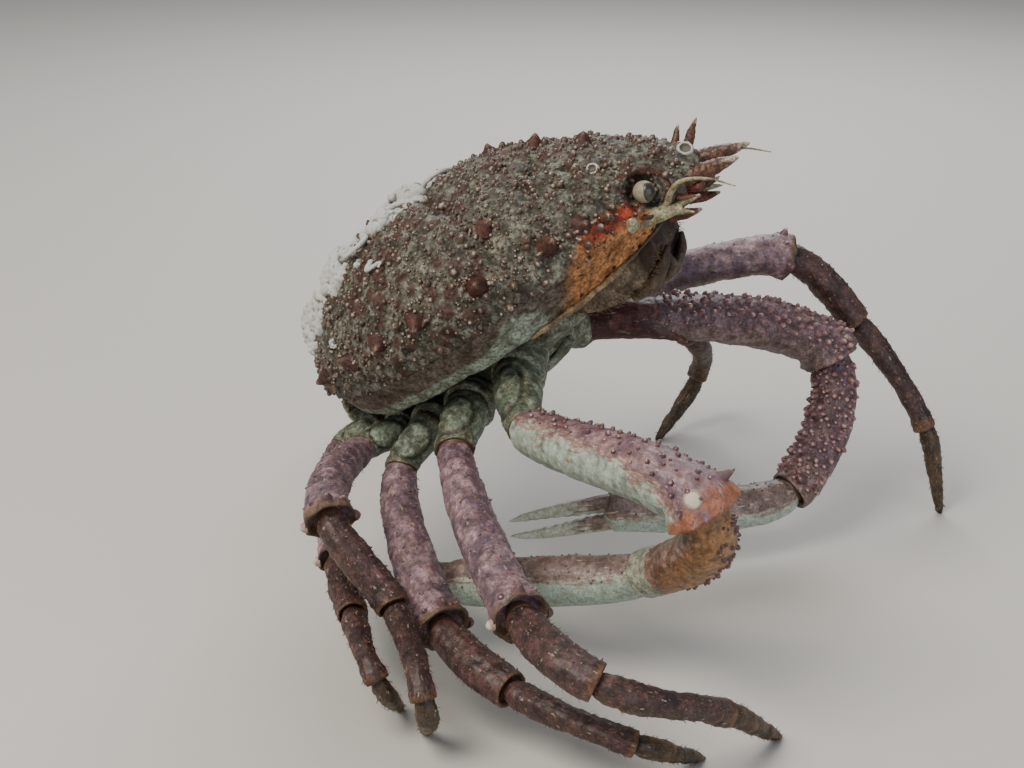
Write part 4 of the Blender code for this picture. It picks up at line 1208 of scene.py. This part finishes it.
def spike(path, radii, count, sides, rough=0.00035, size=0.0018, flat=1.0):
    """A tapering tube along a smooth path, with pebbled skin, and its places from 0 to 1."""
    r = np.interp(np.linspace(0, len(radii) - 1, count), np.arange(len(radii)), radii) / 1000
    r[-1] *= 0.4
    grid = tube(flow(path, count), r, sides, flat=flat)
    fade = ramp(np.arange(count), count - 1, -0.35 * count)[:, None]
    lift = (pebbles(grid, size, 13) * rough + ripple(grid, size * 2, 3) * rough * 0.7) * fade
    return raised(grid, lift, from_axis(grid)), np.linspace(0, 1, count)[:, None]


def straight(root, way, side, long, back=-0.1):
    """Five places in a row from a little inside the root to the length in mm."""
    start, way = mirrored(root, way, side)
    return start + way * np.linspace(back, 1, 5)[:, None] * long / 1000


HORNS = {1: ((.440, .027, .020), (.470, .029, .010), (.505, .031, .001), (.560, .041, -.013),
             (.603, .052, -.024)),
         -1: ((.440, .030, .000), (.470, .034, -.011), (.505, .037, -.019), (.560, .043, -.025),
              (.603, .052, -.030))}
# Root, direction, length and radius in mm; the last two stand on the left side alone
BROW_SPINES = (((.338, .192, .012), (.60, .75, .05), 8.0, 2.5),
               ((.352, .150, -.024), (.75, .60, -.10), 4.5, 1.7),
               ((.462, .096, .030), (.30, .62, .50), 13.0, 1.9),
               ((.436, .105, .042), (.35, .40, .70), 9.0, 1.6))
parts = []
for side in SIGN.values():
    parts.append(spike(places(HORNS[side], side), (4.2, 3.6, 2.9, 2.1, .6), 80, 26, 0.0006, 0.0020))
    for root, way, long, thick in BROW_SPINES[:4 if side == 1 else 2]:
        path = straight(root, way, side, long)
        path = path + FORE * np.linspace(0, 1, 5)[:, None] ** 2 * long * 0.00012
        parts.append(spike(path, (thick * 1.2, thick, thick * .75, thick * .5, .25), 30, 14))
solid_piece("head_horns", [(grid, {"tip": at}) for grid, at in parts], horn_finish, "shell")

RIM_POINT = ((-0.25, 1.15), (0.10, 0.95), (0.45, 0.62), (0.78, 0.32))
sets = []
for side in SIGN.values():
    root, way = mirrored(EYE_ROOT, EYE_WAY, side)
    up = unit(OUT - (OUT @ way) * way)
    ahead = np.cross(up, way) * side
    turn = np.radians(np.linspace(-150, 175, 90))
    line = (root + way * (0.0062 + 0.0010 * np.cos(turn - 1.2))[:, None]
            + (0.0083 + 0.0006 * np.sin(turn * 3))[:, None] * wheel(turn, up, ahead))
    thick = (1.15 + 0.35 * np.cos(turn) + 0.2 * np.sin(turn * 9)) * np.interp(
        np.linspace(0, 1, 90), (0, .08, .92, 1), (.3, 1, 1, .3)) / 1000
    rim = tube(line, thick, 12, up=way)
    rim = raised(rim, pebbles(rim, 0.0016, 5) * 0.0003, from_axis(rim))
    sets.append((*join([closed(rim)]), ends_too(rim, 0)))
    roots = line[np.linspace(18, 74, 13).astype(int)]
    out = unit(roots - root - way * 0.002)
    sets.append(thorns(roots, out + 0.3 * way, 0.0023, 0.0009, 7, RIM_POINT))
thorn_piece("eye_rims", sets, knob_finish, "shell")
tell("head")

# %% [markdown]
# ## Eyes
#
# A crab's eye sits on a short stalk. The stalk is cream and matt. The cornea at its end is
# an oval dark cap, made of thousands of facets, with a clear glossy skin that gives the
# small bright glints. Stalk and cap are two separate surfaces of revolution here.

# %% Eyes
# Smooth cream stalk, darker towards its root
stalk_finish = grained("cream eye stalk", "#6b6552", "#aba48d", (1.6, 4.0, 0.5), (0.30, 0.50),
                       (0.5, 0.1), ("hollow", "#4c4234", 0.4, 0.9))
# Dark faceted cornea under a thin clear coat: the coat gives the sharp glint
cornea_finish, tree, place = blank("dark cornea")
facets = add(tree, "TexVoronoi", values={"Scale": 1000 / 0.16},
             links={"Vector": place}).outputs["Distance"]
depth = add(tree, "Attribute", {"attribute_name": "along"}).outputs["Fac"]
eye_tone = add(tree, "Mix", MIX, {6: colour("#4b4a3a"), 7: colour("#1d1d18")},
               {0: depth}).outputs[2]
shader = dress(tree, eye_tone, facets, (0.20, 0.34), facets, 0.25, 0.03)
shader.inputs["Coat Weight"].default_value = 0.4
shader.inputs["Coat Roughness"].default_value = 0.12

for word, side in SIGN.items():
    root, way = mirrored(EYE_ROOT, EYE_WAY, side)
    along = np.linspace(0, 11.2, 60)
    r = np.interp(along, (0, 2.5, 4.0, 5.4, 7.0, 8.6, 10.0, 10.8, 11.2),
                  (2.6, 2.2, 2.6, 3.5, 4.0, 3.8, 2.8, 1.6, .5))
    r = np.convolve(np.pad(r, 3, mode="edge"), np.ones(7) / 7, mode="valid") / 1000
    stalk = tube(root + way * along[:, None] / 1000, r, 40, up=OUT)
    stalk = raised(stalk, ripple(stalk, 0.0024, 7) * 0.00005, from_axis(stalk))
    solid_piece(f"eye_{word}_stalk", [(stalk, {"hollow": ramp(along, 6, -6)[:, None]})],
                stalk_finish, "eye", [f"eye_{word}"])
    look = body_way(.73, .65 * side, -.20)           # the cap faces ahead of the stalk
    tilt, turn = np.meshgrid(np.linspace(0.02, 1, 36), turns(48), indexing="ij")
    oval = tilt * 0.60 * 0.98 / np.hypot(0.98 * np.cos(turn), 0.60 * np.sin(turn))
    rim = wheel(turn, *square_to(look, np.array((0.0, 0.0, -1.0))), -1.0)
    cap = raised(root + way * 0.0072, 0.0046 - 0.0010 * tilt**10, wheel(oval, look, rim))
    solid_piece(f"eye_{word}_cornea", [(cap, {"along": 1 - tilt**2})], cornea_finish, "eye")
tell("eyes")

# %% [markdown]
# ## Antennae
#
# Below the eye lies the antenna's broad first joint, a pale green plate that ends in three
# points. A jointed whip springs from it and bends down at its end. Between the horns the
# short first antennae fold away, and a few red-brown stalks show beneath.

# %% Antennae
# Pale green-cream shell of the antennae, and red-brown stalks between them
feeler = grown_shell("pale antenna shell", "#979070", "#cfc8a0", "#8a6a4c", "#7f8a6c", "#d6d2ac",
                     fleck_mm=1.0)
red_stalk = grown_shell("red feeler shell", "#5c2a22", "#93503e", "#7a3c30", "#5c2a22",
                        "#e0d5c4", fleck_mm=0.9)

PLATE = ((.345, .128, -.028), (.366, .124, -.031), (.388, .119, -.036), (.430, .108, -.046),
         (.462, .096, -.058))
PALPS = (((.452, .099, -.060), (.8, .3, -.4), 6.5, 1.3),
         ((.450, .094, -.050), (.95, -.1, -.1), 8.0, 1.4),
         ((.425, .106, -.036), (.75, .35, .30), 4.0, 1.2))
WHIP = ((.424, .106, -.050), (.440, .109, -.036), (.462, .113, -.019), (.490, .120, -.008),
        (.523, .127, -.015), (.562, .137, -.036), (.600, .147, -.070))
STALKS = ((((.462, .030, -.022), (.480, .036, -.036), (.500, .040, -.040), (.512, .042, -.030)),
           (2.0, 1.7, 1.2, .5)),
          (((.440, .060, -.038), (.468, .066, -.050), (.498, .070, -.056)), (2.2, 1.6, .5)),
          (((.420, .070, -.060), (.452, .072, -.074), (.486, .070, -.082)), (2.4, 1.8, .5)))


def feeler_piece(name, parts, finish, replaces=()):
    """A piece from (grid, places from 0 to 1) pairs, worn pale at its ends."""
    solid_piece(name, [(grid, dict(PLAIN, hollow=0.25, ends=ramp(at, 0.80, 0.15)))
                       for grid, at in parts], finish, "feeler", replaces)


for word, side in SIGN.items():
    parts = [spike(places(PLATE, side), (3.2, 4.3, 3.9, 3.3, 1.9), 70, 26, 0.0003, 0.0016, 0.8)]
    for root, way, long, thick in PALPS:
        parts.append(spike(straight(root, way, side, long, -0.2),
                           (thick * 1.1, thick, thick * .8, thick * .5, .2), 22, 12, 0.0001))
    tilt = np.linspace(0.05, np.pi - 0.05, 26)       # the round first joint
    line = body(.366, .150 * side, -.024) + body_way(.35, .9 * side, -.1) * (
        -0.0038 * np.cos(tilt))[:, None]
    ball = tube(line, 0.0039 * np.sin(tilt) ** 0.8, 28)
    ball = raised(ball, pebbles(ball, 0.0015, 2) * 0.00025, from_axis(ball))
    parts.append((ball, np.linspace(.93, .95, 26)[:, None]))
    feeler_piece(f"antenna_{word}_plate", parts, feeler, [f"antenna_{word}"])
    count = 150
    at = np.linspace(0, 1, count)
    r = np.interp(at, (0, .12, .3, .5, .75, 1), (1.55, 1.5, 1.2, .85, .55, .22))
    rings = 1 - 0.22 * (np.abs(np.sin(np.arange(count) * np.pi / 5)) < 0.25)
    lash = tube(flow(places(WHIP, side), count), r * rings / 1000, 12)
    feeler_piece(f"antenna_{word}_whip", [(lash, 0.9 * at[:, None])], feeler)
    feeler_piece(f"feelers_{word}", [spike(places(path, side), radii, 36, 14, 0.0002, 0.0014)
                                     for path, radii in STALKS], red_stalk)
tell("antennae")

# %% [markdown]
# ## Mouth
#
# Two pairs of flat plates close the mouth like doors. Each is a rounded slab with a groove
# along it, a joint across it and small bent palps at its front. Short brown bristles edge
# the slit between them, and a tan seam runs along each outer edge.

# %% Mouth plates
# Brown-grey plates with dark dirt in the joints and painted shade towards the front, and tan seams
mouth_shell = grown_shell("mouth plate shell", "#6e5f50", "#ad9e86", "#7a573e", "#6a6350",
                          "#7b5b40", fleck_mm=1.1, grime_and_shade="#35241a")
seam_shell = grown_shell("tan seam shell", "#8a6f4c", "#bfa37a", "#8a5a3a", "#7c6444", "#b49a72",
                         fleck_mm=1.0)
MOUTH_PALPS = ((((.300, .020, -.176), (.330, .022, -.166), (.352, .034, -.148),
                 (.356, .050, -.128)), (1.6, 2.1, 1.7, 0.8)),
               (((.250, .066, -.172), (.300, .070, -.168), (.345, .066, -.142),
                 (.372, .050, -.112)), (1.8, 2.4, 2.1, 0.9)))

hair_sets = []
for word, side in SIGN.items():
    f = np.linspace(.118, .372, 76)
    F = f[:, None]
    low = np.interp(f, (.12, .16, .22, .28, .33, .37), (.140, .156, .166, .164, .138, .098)) + .004
    top = measure(3, f) - mouth_trough(f) - 0.002
    outer = 0.97 * np.minimum(.092, .82 * measure(4, f)) - .003
    c, s = np.cos(turns(64)), np.sin(turns(64))
    narrow = np.maximum(between(F, .112, .378, .02), 0.2) ** 0.5     # rounds both ends off
    l = (outer[:, None] + .0012 + (outer[:, None] - .0012) * squared(c, 0.6) * narrow) / 2
    u = ((low - top)[:, None] * squared(s, 0.6) - (low + top)[:, None]) / 2
    grid = body(F, l * side, u)
    share = l / outer[:, None]
    sink = np.clip(-s, 0, 1) * (0.0011 * hump(share, .45, .10) + 0.0012 * hump(F, .262, .006)
                                + 0.0010 * hump(share, .78, .05))
    rise = (pebbles(grid, 0.0024, 9) * 0.0004 + ripple(grid, 0.004, 12) * 0.0003) - sink
    # dark dirt in the grooves, and painted shade past f = 0.29, where the plates reach into the mouth's
    # cavity
    dirt_and_shade = np.clip(sink * 900, 0, 1) + 2.6 * ramp(F, .290, .04)
    parts = [(raised(grid, rise, normals(grid)), dict(PLAIN, hollow=dirt_and_shade))]
    for path, radii in MOUTH_PALPS:
        grid, at = spike(places(path, side), radii, 50, 18, 0.0003, 0.0016)
        # painted shade: each palp darkens towards its tip, up in the cavity
        parts.append((grid, dict(PLAIN, hollow=0.5 + at * 1.8)))
    solid_piece(f"mouth_{word}_surface", parts, mouth_shell, "underside", [f"mouth_{word}"])
    rng = np.random.default_rng(5)
    n = 260
    at = rng.uniform(.13, .368, n)
    edge = np.where(np.arange(n) % 2 == 0, .004, np.interp(at, f, outer) * 0.98)
    deep = np.interp(at, f, low) - rng.uniform(0, .02, n)
    ways = body_way(rng.uniform(.1, .8, n), rng.normal(0, .4, n), rng.uniform(-1, -.3, n))
    hair_sets.append(thorns(body(at, edge * side, -deep), ways, rng.uniform(.0012, .0028, n),
                            .00013, 3, BRISTLE))

parts = []
for side in SIGN.values():
    f = np.linspace(.10, .405, 90)
    line = body(f, side * measure(4, f) * snout(f) * 1.02, -measure(3, f) - 0.001)
    thick = (1.15 + 0.25 * np.sin(f * 70)) * np.interp(f, (.10, .14, .26, .32, .405),
                                                       (.3, 1, 1, .7, .4))
    seam = tube(line, thick / 1000, 16)
    seam = raised(seam, ripple(seam, 0.0018, 6) * 0.0003, from_axis(seam))
    parts.append((seam, dict(PLAIN, hollow=ramp(f, .27, .05)[:, None] * 1.6)))
solid_piece("mouth_seams", parts, seam_shell, "shell")
thorn_piece("mouth_bristles", hair_sets, bristle, "underside")
tell("mouth")

# %% [markdown]
# ## Chest, hips and tail
#
# Underneath, the chest is a shield of fused plates with a furrow between every two legs. A
# stout hip ring stands out of it for each limb. The male's tail is narrow, has seven
# segments and lies folded forwards in the middle of the chest.

# %% Chest and hip rings
f = np.linspace(-.462, .118, 130)
F = f[:, None]
half = np.interp(f, (-.46, -.42, -.35, -.20, -.10, .115), (.05, .07, .11, .14, .15, .11))
low = np.interp(f, (-.46, -.40, -.30, -.10, .115), (.085, .150, .186, .200, .158))
top = measure(3, f) - .006
c, s = np.cos(turns(110)), np.sin(turns(110))
l = half[:, None] * squared(c, 0.7) * np.maximum(between(F, -.470, .126, .03), 0.1) ** 0.5
u = ((low - top)[:, None] * squared(s, 0.7) - (low + top)[:, None]) / 2
grid = body(F, l, u)
sink = 0.0014 * sum(hump(F + 0.25 * np.abs(l), at, .007) for at in
                    (-.375, -.285, -.185, -.075, .045))
sink = (sink + 0.0010 * hump(l, 0, .02)) * np.clip(-s * 1.5, 0, 1)
rise = pebbles(grid, 0.0026, 9) * 0.0004 + ripple(grid, 0.006, 12) * 0.0005 - sink
parts = [(raised(grid, rise, normals(grid)), dict(PLAIN, hollow=np.clip(sink * 700, 0, 1) * 0.9))]
for (limb, side) in POSE:
    hip = joint[(limb, side)][0]
    inner = hip + (body(HIPS[limb][0] * .92, 0, -.154) - hip) * .60
    t = np.concatenate([np.linspace(0, 1, 44), [.995, .975, .94]])
    share = np.interp(t, (0, .3, .6, .74, .80, .86, .93, 1),
                      (.74, .84, .98, 1.10, 1.06, 1.16, 1.20, 1.14))
    share = share * np.concatenate([np.ones(44), (.94, .86, .80)])
    ring = tube(inner + (hip - inner) * t[:, None], GIRTHS[limb][0] / 1000 * share, 44, up=FORE)
    lift = pebbles(ring, 0.0023, 17) * 0.00035 + ripple(ring, 0.005, 4) * 0.0004
    T = t[:, None]
    parts.append((raised(ring, lift, from_axis(ring)),
                  dict(PLAIN, hollow=hump(T, .79, .03) * .9, ends=ramp(T, .9, .1) * 0.55)))
solid_piece("sternum_surface", parts, chest_shell, "underside", ["sternum"])
tell("chest")

# %% Tail
TAIL_LINE = np.array(((-.504, 0, -.046), (-.501, 0, -.084), (-.484, 0, -.124), (-.446, 0, -.162),
                      (-.374, 0, -.198), (-.250, 0, -.215), (-.120, 0, -.217), (-.010, 0, -.198),
                      (.035, 0, -.180)))
TAIL_WIDTHS = (.060, .074, .078, .074, .068, .062, .052, .040, .016)
TAIL_BORDERS = np.array((.10, .22, .35, .49, .63, .78))
count = 150
line = flow(TAIL_LINE, count)
w = np.interp(np.linspace(0, 8, count), np.arange(9), TAIL_WIDTHS)[:, None]
gap = hump(np.linspace(0, 1, count)[:, None], TAIL_BORDERS, .008).sum(1)[:, None]
tangent = unit(np.gradient(line, axis=0))
out = np.stack([tangent[:, 2], np.zeros(count), -tangent[:, 0]], axis=1)
out = out * np.sign(out @ np.array((-.3, 0, -1.0)))[:, None]       # away from the chest
c, s = np.cos(turns(72)), np.sin(turns(72))
across = w * (1 - .05 * gap) * squared(c, .55)
lift = .006 + .0065 * (1 - 0.5 * gap) * squared(s, .7) + .007 * (1 - (across / w) ** 2) * (s > 0)
grid = body(*np.moveaxis(raised(raised(line[:, None], across, LEFT), lift, out[:, None]), -1, 0))
rise = pebbles(grid, 0.0022, 23) * 0.0003 + ripple(grid, 0.005, 2) * 0.0003
solid_piece("abdomen_surface", [(raised(grid, rise, normals(grid)),
                                 dict(PLAIN, hollow=np.clip(gap, 0, 1), belly=.2))],
            chest_shell, "underside", ["abdomen"])
tell("underside")

# %% [markdown]
# ## Lime crust
#
# White lime has settled on the highest part of the back: crumbly cushions, three coiled worm
# tubes, one that lies in waves, and two rings left by barnacles nearer the head. The cushions
# are domes whose surface follows strong pebbles, set so close that they grow into one crust.

# %% Lime crust
# Chalk: nearly white, fully matt and crumbly, with grey dirt between the crumbs
lime_finish = grained("chalky lime crust", "#8d8f8c", "#e4e5e0", (2.2, 6.0, 0.7), (0.75, 0.95),
                      (1.0, 0.3), ("hollow", "#6a6459", 0.45, 0.95))
BIG, SMALL = 10, 60                 # how many large and small cushions
rng = np.random.default_rng(23)
dome_f = np.concatenate([np.linspace(-.40, -.04, BIG), rng.uniform(-.40, .0, SMALL)])
dome_a = np.interp(dome_f, (-.40, -.25, -.12, 0), np.radians((46, 56, 74, 94)))
dome_a += np.concatenate([.10 * np.sin(np.arange(BIG) * 2.4), rng.normal(0, .16, SMALL)])
dome_r = np.concatenate([rng.uniform(5.5, 7.5, BIG), rng.uniform(1.8, 4.6, SMALL)]) / 1000
tilt, turn = np.meshgrid(np.linspace(0.04, 2.35, 30), turns(40), indexing="ij")
parts = []
for root, way, r in zip(*back_root(dome_f, dome_a), dome_r):
    grow = 1 + 0.18 * np.sin(3 * turn + root[0] * 900) + 0.10 * np.sin(5 * turn + root[2] * 700)
    dome = raised(root - way * 0.0004, r * 0.60 * np.cos(tilt), way)
    dome = raised(dome, r * grow * np.sin(tilt), wheel(turn, *square_to(way, -FORE)))
    crumbs = pebbles(dome, 0.0024, 3) * ramp(tilt, 1.9, -1)
    dome = raised(dome, crumbs * 0.0013 + ripple(dome, 0.0016, 5) * 0.0003, way)
    parts.append((dome, {"hollow": np.clip(0.9 - crumbs * 1.3, 0, 1)}))

v = np.linspace(0, 1, 70)
for k, (f, a) in enumerate(((-.17, .95), (-.08, 1.25), (-.10, .66), (-.02, 1.50))):
    (root,), (way,) = back_root(f, a)
    one, other = square_to(way, -FORE)
    if k == 2:                       # the worm tube in waves
        line = (root + way * 0.0012 + (v - 0.5)[:, None] * 0.012 * (one + other) / 1.41
                + np.sin(v * 8)[:, None] * 0.0022 * (one - other) / 1.41)
    else:
        line = raised(root, 0.0009 + 0.0005 * v, way)
        line = raised(line, 0.0016 + 0.0052 * v, wheel(v * (5.5 + k) + k, one, other))
    worm = tube(line, np.interp(v, (0, .9, 1), (.4, 1.0, 1.05)) / 1000, 12, up=way)
    parts.append((raised(worm, pebbles(worm, 0.0013, 6) * 0.0004, way), {"hollow": 0}))

BARNACLE = np.array(((3.6, -1.2, .6), (3.4, .6, .3), (3.0, 1.5, .1), (2.6, 1.6, .1),
                     (2.2, .9, 1.0), (1.9, -.2, 1.6)))     # radius and height in mm, dirt
wavy = 1 + .05 * np.sin(2 * turns(40)) + .03 * np.sin(7 * turns(40))
for f, a, big in ((.355, .87, 0.66), (.490, 1.64, 0.85)):
    (root,), (way,) = back_root(f, a)
    way = unit(way + body_way(0, -.5, 0))
    far, high = (BARNACLE[:, :2] * big / 1000).T[..., None]
    wall = raised(root + way * (0.0012 + high[..., None]), far * wavy,
                  wheel(turns(40), *square_to(way, -FORE)))
    wall = raised(wall, pebbles(wall, 0.0013, 8) * 0.0004, way)
    parts.append((wall, {"hollow": BARNACLE[:, 2:]}))
solid_piece("lime_crust", parts, lime_finish, "shell")
tell("crust")

# %% [markdown]
# ## Joint skins
#
# Where two limb pieces meet, a soft skin bridges the gap inside the lip. It is a short tube
# with fine rings, orange brown and slightly glossy, and only a line of it shows.

# %% Joint skins
# Soft brown skin, a little glossy, so that a darker line marks each joint
skin_finish = grained("soft joint skin", "#3a2a22", "#74563f", (1.5, 4.0, 0.5), (0.35, 0.55),
                      (0.6, 0.15))
v = np.linspace(-1, 1, 26)
rings = 0.74 * (1 - 0.10 * v**2) * (1 + 0.03 * np.sin(v * 22))
parts = []
for (limb, side), points in joint.items():
    ways = joint_ways(points)
    for index in range(4 if limb == "claw" else 5):
        radius = min(GIRTHS[limb][max(index - 1, 0)], GIRTHS[limb][index]) / 1000
        line = raised(points[index], v * 0.0034, ways[index])
        parts.append((tube(line, radius * rings, 28, up=(0.1, 0.2, 1)), {}))
solid_piece("joint_skins", parts, skin_finish, "limb")
tell("skins")

# %% [markdown]
# ## Floor, light and camera
#
# The studio is plain: a wide pale floor, one large soft lamp above on the left, a weaker one
# on the right, one behind, and a faint even sky that lifts the shadows.

# %% Studio
# Matt pale floor, so that only the crab carries colour
floor_finish, tree, place = blank("studio floor")
shader = tree.nodes["Principled BSDF"]
shader.inputs["Base Color"].default_value = colour("#c9c6c0")
shader.inputs["Roughness"].default_value = 0.75
mesh = bpy.data.meshes.new("floor")
mesh.from_pydata([(-30, -30, 0), (30, -30, 0), (30, 30, 0), (-30, 30, 0)], [], [(0, 1, 2, 3)])
mesh.materials.append(floor_finish)
floor = bpy.data.objects.new("floor", mesh)
bpy.context.scene.collection.objects.link(floor)


def lamp(name, at, size, power, tint):
    """A square area light at a place, turned to look at the crab's middle."""
    data = bpy.data.lights.new(name, "AREA")
    data.size, data.energy, data.color = size, power, colour(tint)[:3]
    obj = bpy.data.objects.new(name, data)
    obj.location = at
    to = np.array((0, 0, 0.08)) - at
    obj.rotation_euler = (math.atan2(math.hypot(to[0], to[1]), -to[2]), 0,
                          math.atan2(to[1], to[0]) - math.pi / 2)
    bpy.context.scene.collection.objects.link(obj)


lamp("key", (-0.35, -0.75, 1.05), 0.7, 17, "#fff6ea")
lamp("fill", (1.0, -0.6, 0.45), 0.9, 4, "#eaf2ff")
lamp("back", (-0.2, 0.9, 0.8), 0.8, 9, "#ffffff")
world = bpy.data.worlds.new("sky")
world.use_nodes = True
sky = world.node_tree.nodes["Background"]
sky.inputs["Color"].default_value = colour("#dfe5ea")
sky.inputs["Strength"].default_value = 0.35
bpy.context.scene.world = world

camera_data = bpy.data.cameras.new("camera")
camera_data.lens, camera_data.sensor_width = 66.8, 36.0
camera = bpy.data.objects.new("camera", camera_data)
camera.location = (0.2295, -0.6398, 0.338)
camera.rotation_euler = (math.radians(90 - 21), 0, math.radians(21))
bpy.context.scene.collection.objects.link(camera)
bpy.context.scene.camera = camera
print("camera stands at", [round(v, 3) for v in camera.location])

# %% Sizes
print("triangles:", sum(n for _, n in made))
